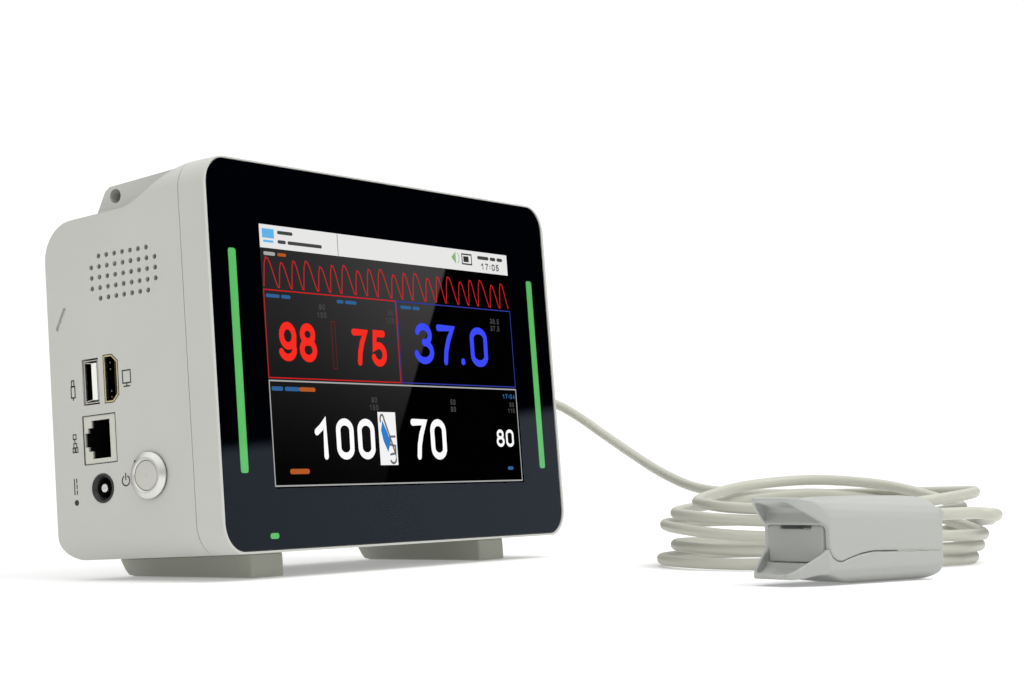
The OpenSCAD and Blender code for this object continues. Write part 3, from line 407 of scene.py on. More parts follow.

# The return spring, which shortens as the button goes in, gets a mesh of its own
spring = finish_mesh(node_bmesh("button_spring"), "return_spring", SPRING_STEEL, "monitor",
                     ["button_spring"], weighted=False)
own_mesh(spring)


# ---------- front glass and what shows through it ----------
FACE_Z = GLASS_H / 2
SKIN_T = 0.34  # clear layer over the black print
PRINT_Y, BACK_Y = 0.36, GLASS_T - 0.02  # front and back of what lies behind that layer
PICTURE_X, PICTURE_Z = -2.5, -0.3  # origin of the screen picture, from the glass's own
SCREEN = {"x0": -65.6, "x1": 70.6, "z0": 18.6, "z1": 99.2}
ALARM_X, ALARM_Z0, ALARM_Z1, ALARM_W = 81.3, 23.1, 90.4, 3.5
LED_X, LED_Z, LED_W, LED_H = -69.3, 4.2, 4.1, 1.75
# painted reflection: strength of the pale glare that glows in the screen cell
PAINTED_GLARE = 0.05
PAINTED_GLARE_EDGE, PAINTED_GLARE_NORMAL = (30.4, 91.9), (-0.861, 0.508)  # a point of the painted glare's slanting edge


def face_at(depth_mm):
    """Local x to the right, y up and z towards the viewer, at a depth behind the glass's front face."""
    return CASE @ Matrix.Translation((0, depth_mm, 0)) @ Matrix.Rotation(math.radians(90), 4, "X")


def centred(outline, x, z):
    """The outline moved so that its origin lies at x, z."""
    return [(px + x, pz + z) for px, pz in outline]


def sheet(name, outlines, material, matrix, thick_mm):
    """A thin flat shape; an outline inside another one is a hole."""
    bm = bmesh.new()
    for outline in outlines:
        loop = [bm.verts.new((x, y, 0)) for x, y in outline]
        for a, b in zip(loop, loop[1:] + loop[:1]):
            bm.edges.new((a, b))
    bmesh.ops.triangle_fill(bm, edges=bm.edges[:], use_beauty=True, normal=(0, 0, 1))
    extruded = bmesh.ops.extrude_face_region(bm, geom=bm.faces[:])["geom"]
    raised = [v for v in extruded if isinstance(v, bmesh.types.BMVert)]
    bmesh.ops.translate(bm, vec=(0, 0, thick_mm), verts=raised)
    bmesh.ops.recalc_face_normals(bm, faces=bm.faces)
    bmesh.ops.transform(bm, matrix=matrix, verts=bm.verts)
    finish_mesh(bm, name, material, "monitor", weighted=False)


def glass_outline(inset):
    return centred(round_rect(GLASS_W - 2 * inset, GLASS_H - 2 * inset, GLASS_R - inset, 16), 0, FACE_Z)


def empty_graph(name):
    """A material without nodes, and its output's surface."""
    mat = bpy.data.materials.new(name)
    mat.use_nodes = True
    mat.node_tree.nodes.clear()
    graph = Graph(mat.node_tree)
    return mat, graph, graph.node("OutputMaterial").inputs["Surface"]


def glass_material():
    """Clear glass that mirrors the studio everywhere but over the lit screen."""
    mat, graph, surface = empty_graph("front_glass")
    smear = graph.node("TexNoise", Scale=60, Vector=graph.coords)
    rough = graph.node("MapRange", To_Min=0.01, To_Max=0.03, Value=smear.outputs["Fac"])
    mirror = graph.node("BsdfGlossy", Roughness=rough.outputs["Result"])
    clear = graph.node("BsdfTransparent")
    # Only the outer skin mirrors, seen from outside
    outside = graph.maths("SUBTRACT", 1, graph.node("NewGeometry").outputs["Backfacing"])
    at = graph.axes(graph.coords)
    low = CASE @ Vector((SCREEN["x0"] + PICTURE_X, 0, SCREEN["z0"] + PICTURE_Z))
    high = CASE @ Vector((SCREEN["x1"] + PICTURE_X, 0, SCREEN["z1"] + PICTURE_Z))
    within = [graph.maths("COMPARE", at[axis], (start + end) / 2, (end - start) / 2)
              for axis, start, end in (("X", low.x, high.x), ("Z", low.z, high.z))]
    bare = graph.maths("SUBTRACT", outside, graph.maths("MULTIPLY", *within))
    bare.node.use_clamp = True
    share = graph.maths("MULTIPLY", bare, graph.node("Fresnel", IOR=1.5).outputs["Fac"])
    mix = graph.node("MixShader", Fac=share)
    graph.feed(clear.outputs["BSDF"], mix.inputs[1])
    graph.feed(mirror.outputs["BSDF"], mix.inputs[2])
    graph.feed(mix.outputs["Shader"], surface)
    return mat


def cell_material():
    """The dark cell of the screen, with a painted reflection on its left part: a pale glow that a slanting
    line cuts off, fading towards the left and the bottom.
    """
    shader = Shader("screen_cell", (0.0004, 0.0004, 0.0004), 0.5, specular=0)
    glare_mask = shader.ramp_across(PAINTED_GLARE_NORMAL, PAINTED_GLARE_EDGE, -0.3, 1.2)
    fade = shader.ramp_across((-1, 0), (20, 60), 0, 90, 1.0, 0.45)
    low = shader.ramp_across((0, 1), (0, 19), 0, 74, 0.06, 1.0)
    level = shader.maths("MULTIPLY", shader.maths("MULTIPLY", glare_mask, fade), low)
    # the painted reflection glows as emission
    return shader.glow((1, 0.95, 0.95), shader.maths("MULTIPLY", level, PAINTED_GLARE)).mat


INK = Shader("ink_black", (0.0003, 0.0005, 0.0014), 0.5, specular=0).mottle(40, 0.1).mat
finish_mesh(slab(glass_outline, 0, SKIN_T, CASE, round_mm=0.3), "front_glass_plate", glass_material(),
            "monitor", ["front_glass"])
screen_mid = ((SCREEN["x0"] + SCREEN["x1"]) / 2 + PICTURE_X, (SCREEN["z0"] + SCREEN["z1"]) / 2 + PICTURE_Z)
screen_size = (SCREEN["x1"] - SCREEN["x0"], SCREEN["z1"] - SCREEN["z0"])
alarm_mid = (ALARM_Z0 + ALARM_Z1) / 2
screen_window = centred(round_rect(*screen_size, 0.3, 3), *screen_mid)
lamp_windows = [centred(round_rect(LED_W, LED_H, LED_H / 2 - 0.01, 8), LED_X, LED_Z)]
lamp_windows += [centred(round_rect(ALARM_W, ALARM_Z1 - ALARM_Z0, 0.9, 8), s * ALARM_X, alarm_mid)
                 for s in (-1, 1)]
sheet("glass_print", [glass_outline(0.02), screen_window] + lamp_windows, INK, face_at(BACK_Y),
      thick_mm=BACK_Y - PRINT_Y)
for lamp_name, window in zip(("power_light", "alarm_light_left", "alarm_light_right"), lamp_windows):
    sheet(lamp_name, [window], GREEN_LIGHT, face_at(BACK_Y), thick_mm=BACK_Y - PRINT_Y - 0.005)
sheet("screen_cell", [screen_window], cell_material(), face_at(BACK_Y),
      thick_mm=BACK_Y - PRINT_Y - 0.02)


# ---------- picture on the screen ----------
PIXEL, CAP_STEPS = 0.2, 6


def lit(name, colour):
    """A colour shown by the screen, with the faint grid of its pixels."""
    shader = Shader(name, (0, 0, 0), 0.4, specular=0)
    grid = shader.node("TexWave", Scale=1000 / PIXEL / (2 * math.pi), Vector=shader.coords)
    return shader.glow(colour, shader.spread(grid.outputs["Fac"], 0.94, 1.06)).mat


def ribbon(bm, points, width, closed=False):
    """A flat line of even width through points, with round ends."""
    points = [Vector(p) for p in points]
    n = len(points)
    sides = []
    for i, p in enumerate(points):
        before = points[i - 1] if i or closed else p
        after = points[(i + 1) % n] if i < n - 1 or closed else p
        d1 = (p - before).normalized() if (p - before).length > 1e-6 else (after - p).normalized()
        d2 = (after - p).normalized() if (after - p).length > 1e-6 else d1
        tangent = (d1 + d2).normalized() if (d1 + d2).length > 1e-3 else d2
        across = Vector((-tangent.y, tangent.x))
        spread = width / 2 / max(0.6, across.dot(Vector((-d2.y, d2.x))))
        sides.append((p + across * spread, p - across * spread, tangent))
    left = [bm.verts.new((*a, 0)) for a, _, _ in sides]
    right_side = [bm.verts.new((*b, 0)) for _, b, _ in sides]
    for i in range(n if closed else n - 1):
        k = (i + 1) % n
        bm.faces.new((right_side[i], right_side[k], left[k], left[i]))
    if closed:
        return
    for end, sign in ((0, -1), (n - 1, 1)):
        p, tangent = points[end], sides[end][2] * sign
        across = Vector((-tangent.y, tangent.x))
        arc_points = []
        for k in range(1, CAP_STEPS):
            a = math.pi * k / CAP_STEPS
            arc_points.append(p + (across * math.cos(a) + tangent * math.sin(a)) * width / 2)
        fan = [left[end] if sign > 0 else right_side[end]] + [bm.verts.new((*q, 0)) for q in arc_points]
        fan.append(right_side[end] if sign > 0 else left[end])
        bm.faces.new(list(reversed(fan)))


def bow(cx, cy, rx, ry, a0, a1, steps=12):
    """Points of an elliptic arc between two angles in degrees."""
    return [(cx + rx * math.cos(math.radians(a0 + (a1 - a0) * k / steps)),
             cy + ry * math.sin(math.radians(a0 + (a1 - a0) * k / steps))) for k in range(steps + 1)]


# Centre lines of the numerals in a box 0.5 wide and 1 high
NUMERALS = {
    "0": [bow(0.25, 0.75, 0.25, 0.25, 0, 180) + bow(0.25, 0.25, 0.25, 0.25, 180, 360)],
    "1": [[(0.02, 0.7), (0.2, 0.84), (0.32, 1), (0.32, 0)]],
    "2": [bow(0.25, 0.74, 0.24, 0.26, 165, -25) + [(0.02, 0), (0.5, 0)]],
    "3": [bow(0.24, 0.76, 0.22, 0.24, 160, -85, 14), bow(0.23, 0.27, 0.27, 0.27, 88, -165, 16)],
    "4": [[(0.38, 0), (0.38, 1), (0, 0.3), (0.5, 0.3)]],
    "5": [[(0.46, 1), (0.1, 1), (0.05, 0.52)] + bow(0.24, 0.3, 0.25, 0.3, 120, -160, 14)],
    "7": [[(0, 1), (0.5, 1), (0.34, 0.66), (0.24, 0.33), (0.2, 0)]],
    "8": [bow(0.25, 0.76, 0.21, 0.24, 0, 350, 20), bow(0.25, 0.27, 0.25, 0.27, 0, 350, 20)],
    "9": [bow(0.25, 0.68, 0.24, 0.32, 0, 350, 20),
          [(0.49, 0.68)] + bow(0.22, 0.26, 0.26, 0.26, 20, -160, 10)],
    ".": [[(0.05, 0.03), (0.055, 0.03)]],
    ":": [[(0.05, 0.25), (0.055, 0.25)], [(0.05, 0.7), (0.055, 0.7)]],
}
BAR_SPACE = 0.8
LOOPS = {"0": [True], "8": [True, True], "9": [True, False]}  # strokes that close on themselves


def numerals(bm, text, x, z, height, width, bold=0.14, pitch=0.3):
    """Writes numbers from x rightwards on the baseline z; width is one numeral's."""
    line = height * bold
    for char in text:
        for stroke, closed in zip(NUMERALS[char], LOOPS.get(char, [False, False])):
            scale_x = (width - line) / 0.5
            scale_z = height - line
            points = [(x + line / 2 + px * scale_x, z + line / 2 + pz * scale_z) for px, pz in stroke]
            if char == "0":
                points = points[:-1]
            ribbon(bm, points, line, closed)
        x += width * (pitch + (0.45 if char in ".:" else 1))


def bars(bm, x, z, lengths, height):
    """A row of plain bars that stands for a line of small print."""
    for length in lengths:
        ribbon(bm, [(x + height / 2, z), (x + length - height / 2, z)], height)
        x += length + BAR_SPACE


def frame_line(bm, x0, z0, x1, z1, width):
    ribbon(bm, [(x0, z0), (x1, z0), (x1, z1), (x0, z1)], width, closed=True)


def panel(bm, x0, z0, x1, z1):
    bm.faces.new([bm.verts.new((x, z, 0)) for x, z in ((x0, z0), (x1, z0), (x1, z1), (x0, z1))])


def face_viewer(bm):
    """Turns every flat face towards the local z axis."""
    bmesh.ops.recalc_face_normals(bm, faces=bm.faces)
    for face in bm.faces:
        if face.normal.z < 0:
            face.normal_flip()


def shown(name, colour, depth, draw):
    """One colour of the screen's picture as a flat piece just behind the glass."""
    bm = bmesh.new()
    draw(bm)
    face_viewer(bm)
    place = face_at(depth) @ Matrix.Translation((PICTURE_X, PICTURE_Z, 0))
    bmesh.ops.transform(bm, matrix=place, verts=bm.verts)
    finish_mesh(bm, "screen_" + name, lit("screen_" + name, colour), "monitor", weighted=False)


HEAD_Z = 91.9  # lower edge of the header bar
WAVE_TOP, WAVE_LOW = 89.0, 79.8
BOX_TOP, BOX_MID, BOX_LOW = 79.0, 51.2, 19.3
SPLIT_X = 2.4
LEFT_X, RIGHT_X = SCREEN["x0"] + 0.5, SCREEN["x1"] - 0.5


def pulse_wave():
    """Three beats of slightly different height and spacing, over and over."""
    points = []
    x = LEFT_X + 0.3
    beats = 21
    step = (RIGHT_X - LEFT_X - 0.6) / beats
    for i in range(beats):
        tall = (1.0, 0.86, 0.96)[i % 3]
        wide = step * (1.15, 0.95, 0.9)[i % 3]
        for share, level in ((0, 0.02), (0.1, 0.78), (0.2, 1.0), (0.34, 0.97), (0.48, 0.8), (0.74, 0.3),
                             (0.9, 0.03)):
            points.append((x + share * wide, WAVE_LOW + (WAVE_TOP - WAVE_LOW) * level * tall))
        x += wide
    return points


def draw_red(bm):
    numerals(bm, "98", -59.2, 57.3, 12.2, 8.6, 0.19, 0.13)
    numerals(bm, "75", -22.8, 57.0, 11.9, 8.3, 0.19, 0.2)


def draw_red_lines(bm):
    frame_line(bm, LEFT_X, BOX_MID + 0.9, SPLIT_X - 0.4, BOX_TOP, 0.35)
    ribbon(bm, pulse_wave(), 0.4)


def draw_blue(bm):
    numerals(bm, "37.0", 11.4, 58.6, 13.8, 10.6, 0.17, 0.2)


def draw_blue_lines(bm):
    frame_line(bm, SPLIT_X + 0.3, BOX_MID + 0.9, RIGHT_X, BOX_TOP, 0.35)


def draw_white(bm):
    numerals(bm, "100", -45.0, 27.1, 12.95, 9.0, 0.17, 0.22)
    numerals(bm, "70", 5.8, 26.8, 13.5, 9.0, 0.17, 0.2)
    numerals(bm, "80", 55.8, 31.0, 6.1, 4.9, 0.18, 0.2)


def draw_white_lines(bm):
    frame_line(bm, LEFT_X, BOX_LOW, RIGHT_X, BOX_MID, 0.45)
    bars(bm, LEFT_X + 1, 90.2, (5.5,), 1.1)


def draw_header(bm):
    panel(bm, SCREEN["x0"] + 0.05, HEAD_Z, SCREEN["x1"] - 0.05, SCREEN["z1"] - 0.05)


def draw_header_ink(bm):
    ribbon(bm, [(-27, HEAD_Z + 0.2), (-27, SCREEN["z1"] - 0.3)], 0.25)
    bars(bm, -57, 97.1, (7.5,), 1.1)
    bars(bm, -57, 94.2, (4, 17), 1.1)
    numerals(bm, "17:05", 54, 93.0, 2.3, 1.9, 0.2, 0.35)
    bars(bm, 52, 97.1, (7, 3.5, 3.5), 1.2)


def draw_icons(bm):
    panel(bm, -64.3, 95.0, -58.6, 97.9)
    ribbon(bm, [(-63.6, 94.0), (-59.3, 94.0)], 0.7)


def draw_green_icons(bm):
    bm.faces.new([bm.verts.new((x, z, 0)) for x, z in ((36.2, 96.2), (38.8, 98.2), (38.8, 94.0))])
    ribbon(bm, bow(38.6, 96.1, 2.2, 2.2, -50, 50), 0.35)


def draw_battery_icon(bm):
    frame_line(bm, 42.6, 94.3, 48.3, 97.7, 0.5)
    panel(bm, 43.4, 95.0, 46.6, 97.0)


def draw_captions(bm):
    bars(bm, -64.2, 77.2, (6.5, 4.5), 1.1)
    bars(bm, -29.4, 77.2, (3.5, 6), 1.1)
    bars(bm, 4.6, 77.2, (6, 4), 1.1)
    bars(bm, -64.2, 48.8, (5.5, 7), 1.3)
    bars(bm, 61.5, 23.6, (3.5,), 1.2)
    numerals(bm, "17:04", 61.5, 47.8, 1.7, 1.3, 0.22, 0.35)


def draw_orange(bm):
    bars(bm, -51, 48.8, (8,), 1.3)
    bars(bm, -57.8, 23.6, (9.5,), 1.6)
    bars(bm, -57.5, 90.2, (4.2,), 1.0)


# Alarm limits of each box: text, x and baseline
LIMITS = (
    ("90", -38.6, 74.0), ("100", -39.8, 71.5), ("50", -2.6, 74.0), ("120", -4.0, 71.5), ("38.5", 57, 74.0),
    ("37.5", 57, 71.5), ("90", -14.6, 45.2), ("150", -15.8, 42.8), ("50", 29.4, 45.2), ("90", 29.4, 42.8))
SMALL_LIMITS = (("50", 65.5, 45.0), ("110", 64.2, 42.9))


def draw_dim(bm):
    for text, x, z in LIMITS:
        numerals(bm, text, x, z, 1.9, 1.3, 0.2, 0.3)
    for text, x, z in SMALL_LIMITS:
        numerals(bm, text, x, z, 1.6, 1.2, 0.2, 0.3)


def draw_cuff_card(bm):
    panel(bm, -11.9, 25.2, -2.4, 42.3)


def draw_cuff_blue(bm):
    outline = ((-9.6, 39.6), (-7.4, 36), (-5.8, 32.6), (-7.4, 29.4), (-9.6, 33), (-10.6, 36.4))
    bm.faces.new([bm.verts.new((x, z, 0)) for x, z in reversed(outline)])


def draw_cuff_grey(bm):
    ribbon(bm, bow(-9.7, 39.8, 1.0, 1.6, 200, 10) + [(-3.6, 29), (-3.2, 27)]
           + bow(-4.9, 27.4, 1.6, 1.6, 0, -150), 0.75)
    ribbon(bm, [(-3.3, 34.4), (-6.2, 34.4), (-6.2, 31.8), (-3.4, 31.4), (-3.4, 29.0), (-6.2, 28.6)], 0.7)


def draw_gauge(bm):
    frame_line(bm, -33.0, 55.6, -31.2, 70.6, 0.2)


# Name, colour, depth behind the glass's front face
SHOWN = (
    ("header", (0.8, 0.8, 0.79), 0.368, draw_header),
    ("header_ink", (0.06, 0.06, 0.06), 0.356, draw_header_ink),
    ("red", (0.95, 0.025, 0.015), 0.362, draw_red), ("red_lines", (0.6, 0.015, 0.02), 0.362, draw_red_lines),
    ("blue", (0.045, 0.07, 1.0), 0.362, draw_blue),
    ("blue_lines", (0.03, 0.04, 0.32), 0.362, draw_blue_lines),
    ("white", (1, 1, 1), 0.362, draw_white), ("white_lines", (0.4, 0.4, 0.4), 0.362, draw_white_lines),
    ("icons", (0.12, 0.45, 0.8), 0.356, draw_icons),
    ("icon_green", (0.25, 0.45, 0.2), 0.356, draw_green_icons),
    ("battery_icon", (0.03, 0.03, 0.03), 0.356, draw_battery_icon),
    ("captions", (0.03, 0.12, 0.3), 0.362, draw_captions), ("orange", (0.45, 0.1, 0.02), 0.362, draw_orange),
    ("dim", (0.06, 0.06, 0.06), 0.362, draw_dim), ("cuff_card", (0.9, 0.9, 0.9), 0.368, draw_cuff_card),
    ("cuff_blue", (0.03, 0.2, 0.6), 0.356, draw_cuff_blue),
    ("cuff_grey", (0.15, 0.15, 0.15), 0.35, draw_cuff_grey), ("gauge", (0.2, 0.012, 0.01), 0.362, draw_gauge),
)
for shown_name, shown_colour, shown_depth, draw in SHOWN:
    shown(shown_name, shown_colour, shown_depth, draw)


# ---------- cable ----------
CABLE_R = 1.7
COIL_X, COIL_Y, COIL_R, COIL_START = 55.5, -117, 49.5, 25
STRAND = 3.9  # height of one strand pitch
FLOOR_GAP = 0.08
# Each row is one loop of the coil at its back, right end, front and left end
LAY_OUT = (
    1.5, 0.1, 0, -12.6,
    -3, -4, -0.5, -5.4,
    -4.2, 2.5, 0, -1.9,
    0.5, 1.2, -0.5, -5.2,
    -1.5, -0.8, 0, -0.7,
    0.5)
LAY_UP = (
    4.94, 5.12, 4.14, 4.76,
    6.19, 3.96, 3.24, 3.83,
    5.01, 1.81, 2.01, 2.88,
    2.76, 0.92, 0.99, 1.24,
    0.95, 0, 0, 0.1,
    0.06)
LOOP_COUNT = (len(LAY_UP) - 1) // 4
MARKS_PER_LOOP = 12
CURVE_STEPS, HOSE_SIDES = 8, 20
SLACK_MARKS = 4  # marks of the climbing strand that go into the cable's tail piece, not the coil
PLUG_MARKS_X, SOCKET_Y, SOCKET_Z = (108, 122, 126.4, 129.9), 40, 52
BOOT_Z, BOOT_START_U, TAIL_END_U = 16.8, 22, 44  # along the PROBE frame


def lay(values, turns):
    """Eases from one quarter's value to the next."""
    quarter = min(math.floor(4 * turns), len(values) - 2)
    share = (1 - math.cos(math.pi * (4 * turns - quarter))) / 2
    return values[quarter] * (1 - share) + values[quarter + 1] * share


def round_coil(degrees, r, z):
    a = math.radians(degrees)
    return Vector((COIL_X + r * math.cos(a), COIL_Y + r * math.sin(a), z))


def coil_z(turns):
    return CABLE_R + FLOOR_GAP + STRAND * lay(LAY_UP, turns)


def coil_point(turns):
    return round_coil(COIL_START - 360 * turns, COIL_R + lay(LAY_OUT, turns), coil_z(turns))


def at_probe(u, z):
    return TABLE.inverted() @ PROBE @ Vector((u, 0, z))


def through(marks, steps):
    """Catmull-Rom curve through the marks."""
    points = []
    last = len(marks) - 1
    for i in range(last):
        a, b, c, d = marks[max(0, i - 1)], marks[i], marks[i + 1], marks[min(last, i + 2)]
        for k in range(steps):
            t = k / steps
            points.append(0.5 * (2 * b + (c - a) * t + (2 * a - 5 * b + 4 * c - d) * t ** 2
                                 + (3 * b - a - 3 * c + d) * t ** 3))
    return points + [marks[-1]]


def hose(name, path, radius, material, body, replaces):
    """A round tube along a path of the TABLE frame that never runs straight up."""
    bm = bmesh.new()
    rings = []
    for i, point in enumerate(path):
        ahead = (path[min(len(path) - 1, i + 1)] - path[max(0, i - 1)]).normalized()
        across = Vector((0, 0, 1)).cross(ahead).normalized()
        up = ahead.cross(across)
        turns = [2 * math.pi * k / HOSE_SIDES for k in range(HOSE_SIDES)]
        rings.append([TABLE @ (point + radius * (math.cos(a) * across + math.sin(a) * up)) for a in turns])
    skin(bm, rings, close=True)
    bmesh.ops.recalc_face_normals(bm, faces=bm.faces)
    return finish_mesh(bm, name, material, body, replaces, weighted=False)


plug_marks = [TABLE.inverted() @ CASE @ Vector((x, SOCKET_Y, SOCKET_Z)) for x in PLUG_MARKS_X]
supply_marks = [Vector(p) for p in (
    (138, 36.5, 57.5), (141.8, 27, 52.8), (136, 7.5, 42.8), (120, -15.5, 34.3), (102.5, -36, coil_z(0) + 7.5),
    (94.3, -53, coil_z(0) + 2.8), (94, -68.5, coil_z(0) + 0.8), (97.3, -83, coil_z(0) + 0.2))]
coil_marks = [coil_point(i / MARKS_PER_LOOP) for i in range(LOOP_COUNT * MARKS_PER_LOOP + 1)]
climb_marks = [round_coil(-2, COIL_R + 3.6, 3.9), round_coil(-22, COIL_R + 5.5, 8.3),
               round_coil(-48, COIL_R + 4.9, 12.2), round_coil(-72, COIL_R + 4.7, 13.2),
               round_coil(-86, COIL_R + 7.2, 13.7), round_coil(-98, COIL_R + 13, 14.3),
               round_coil(-108, COIL_R + 21.7, 15.2)]
tail_marks = [at_probe(u, BOOT_Z - drop) for u, drop in (
    (60, 0.7), (52.5, 0.1), (47.6, 0), (TAIL_END_U, 0), (38, 0), (32, 0), (BOOT_START_U + 1, 0))]
cable_marks = plug_marks + supply_marks + coil_marks + climb_marks + tail_marks
cable_line = through(cable_marks, CURVE_STEPS)
tail_at = (len(cable_marks) - len(tail_marks) - SLACK_MARKS) * CURVE_STEPS
hose("cable_coil", cable_line[:tail_at + 1], CABLE_R, CABLE, "monitor", ["probe_cable"])
tail_piece = hose("cable_tail", cable_line[tail_at:], CABLE_R, CABLE, None,
                  ["probe_cable_tail"])
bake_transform(tail_piece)


# ---------- finger clip ----------
def softened(node_name, name, voxel_mm, rounds, material, body):
    """A moulded piece with soft edges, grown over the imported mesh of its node."""
    bm = node_bmesh(node_name)
    bmesh.ops.triangulate(bm, faces=bm.faces)
    obj = finish_mesh(bm, name, material, body, [node_name], weighted=False)
    grid = obj.modifiers.new("grid", "REMESH")
    grid.mode = "VOXEL"
    grid.voxel_size = voxel_mm * MM
    grid.use_smooth_shade = True
    relax = obj.modifiers.new("relax", "SMOOTH")
    relax.factor = 0.5
    relax.iterations = rounds
    return obj


for part, voxel, rounds, plastic, body_name, slot_name in (
        ("upper_shell", 0.28, 14, PROBE_SHELL, "probe_upper_jaw", "probe_shell"),
        ("lower_shell", 0.28, 14, PROBE_SHELL, "monitor", "probe_shell"),
        ("hinge_block", 0.25, 3, PROBE_BLOCK, "monitor", "probe_block"),
        ("upper_pad", 0.3, 6, PROBE_PAD, "probe_upper_jaw", "probe_pad"),
        ("lower_pad", 0.3, 6, PROBE_PAD, "monitor", "probe_pad")):
    softened("probe_" + part, "clip_" + part, voxel, rounds, plastic, body_name)

# The boot's radius at each distance along it
BOOT_PROFILE = ((1.72, 0), (2.45, 0), (2.45, 4), (2.42, 5), (2.36, 7), (2.3, 9), (2.22, 10.5), (2.12, 12.2),
                (1.98, 13.5), (1.85, 13.9), (1.72, 14))
BOOT_SIDES = 40
boot_place = PROBE @ Matrix.Translation((BOOT_START_U, 0, BOOT_Z)) @ Matrix.Rotation(math.radians(90), 4, "Y")
boot_turns = [2 * math.pi * k / BOOT_SIDES for k in range(BOOT_SIDES)]
boot_bm = bmesh.new()
skin(boot_bm, [[boot_place @ Vector((r * math.cos(a), r * math.sin(a), h)) for a in boot_turns]
               for r, h in BOOT_PROFILE], close=True)
bmesh.ops.recalc_face_normals(boot_bm, faces=boot_bm.faces)
finish_mesh(boot_bm, "clip_boot", PROBE_SHELL, "probe_upper_jaw", ["probe_boot"],
            weighted=False)

# The photograph's glass mirrors neither the cable nor the clip
for unmirrored in ("cable_coil", "cable_tail", "clip_upper_shell", "clip_lower_shell", "clip_boot"):
    bpy.data.objects[unmirrored].visible_glossy = False


# ---------- small parts in the ports ----------
def in_left_wall(y, z, turn=0):
    """Local x towards the front, local y into the case, turned about the wall's normal."""
    return CASE @ Matrix.Translation((-SIDE_X, y, z)) @ Matrix.Rotation(math.radians(-90), 4, "Z") \
        @ Matrix.Rotation(math.radians(turn), 4, "Y")


def port_part(name, centre, size, depths, material, turn=0, corner=0.12):
    """A small rounded block that stands between two depths of the left wall."""
    def outline(inset):
        return round_rect(size[0] - 2 * inset, size[1] - 2 * inset, corner)
    bm = slab(outline, depths[0], depths[1], in_left_wall(*centre, turn), round_mm=0.08)
    finish_mesh(bm, name, material, "monitor")


def port_rim(name, centre, outline, inner, depths, material):
    """A thin ring between two outlines of the left wall, one inside the other."""
    place = in_left_wall(*centre)
    bm = bmesh.new()
    deep, front = depths
    rings = [[place @ Vector((x, y, z)) for x, z in line] for line, y in (
        (outline, deep), (outline, front), (inner, front), (inner, deep))]
    first, _, _, last = skin(bm, rings)
    n = len(outline)
    for k in range(n):
        bm.faces.new((last[k], last[(k + 1) % n], first[(k + 1) % n], first[k]))
    bmesh.ops.recalc_face_normals(bm, faces=bm.faces)
    finish_mesh(bm, name, material, "monitor")


def hdmi_mouth(inset):
    """Local x towards the front, local y up: a rectangle with its two front corners cut off."""
    side, end = 2.9 - inset, 7.25 - inset
    cut_x, cut_z = 0.6 - inset * 0.4, 5.1 - inset * 0.6
    return [(-side, -end), (-side, end), (cut_x, end), (side, cut_z), (side, -cut_z), (cut_x, -end)]


USB_Y, USB_Z = 49.3, 55.05
port_part("usb_tongue_tip", (USB_Y - 1.15, USB_Z), (2.1, 11.3), (0.45, 1.9), PORT_WHITE)
for end in (-1, 1):
    port_part(f"usb_leaf_{end + 1}", (USB_Y + 1.0, USB_Z + end * 5.75), (2.7, 0.3), (0.2, 2.6), PORT_STEEL,
              turn=end * 8, corner=0.1)
HDMI_Y, HDMI_Z = 40.8, 55.25
for place, height in enumerate((4.9, 2.9, -3.7, -5.5)):
    port_part(f"hdmi_leaf_{place}", (HDMI_Y + 1.1, HDMI_Z + height), (0.4, 0.55), (1.0, 2.2), PORT_STEEL,
              corner=0.15)
# painted shade: a black ring stands for the shade in the gap around the HDMI opening
port_rim("hdmi_gap", (HDMI_Y, HDMI_Z), hdmi_mouth(-0.15), hdmi_mouth(0.15), (0.3, -0.02), BLACK_RUBBER)
port_rim("hdmi_rim", (HDMI_Y, HDMI_Z), hdmi_mouth(0.15), hdmi_mouth(0.55), (0.4, -0.05), BRASS)
NET_Y, NET_Z, NET_W, NET_H = 46.7, 37.4, 13.4, 14.75
# painted shade: a black ring stands for the shade in the gap around the network jack
port_rim("net_gap", (NET_Y, NET_Z), round_rect(NET_W + 0.25, NET_H + 0.25, 0.2, 2),
         round_rect(NET_W - 0.25, NET_H - 0.25, 0.2, 2), (0.3, -0.02), BLACK_RUBBER)
DC_Y, DC_Z = 46.4, 22.5
port_part("dc_pin_tip", (DC_Y, DC_Z), (2.5, 2.5), (0.6, 2.4), CONNECTOR_METAL, corner=1.2)


# ---------- marks beside the ports ----------
INK_LIFT = 0.03
WALL_INK = Shader("wall_ink", (0.04, 0.042, 0.04), 0.6, specular=0.2).mottle(3, 0.15).mat


def wall_picture(name, y, z, lines, discs=(), width=0.42):
    """Line drawing printed on the left wall around a point, in mm."""
    bm = bmesh.new()
    for line in lines:
        ribbon(bm, line, width)
    for x0, z0, r in discs:
        bm.faces.new([bm.verts.new((px, pz, 0)) for px, pz in bow(x0, z0, r, r, 0, 345, 23)])
    face_viewer(bm)
    outside = in_left_wall(y, z) @ Matrix.Translation((0, -INK_LIFT, 0))
    bmesh.ops.transform(bm, matrix=outside @ Matrix.Rotation(math.radians(90), 4, "X"), verts=bm.verts)
    finish_mesh(bm, name, WALL_INK, "monitor", weighted=False)


def outline_box(x0, z0, x1, z1):
    return [(x0, z0), (x1, z0), (x1, z1), (x0, z1), (x0, z0)]


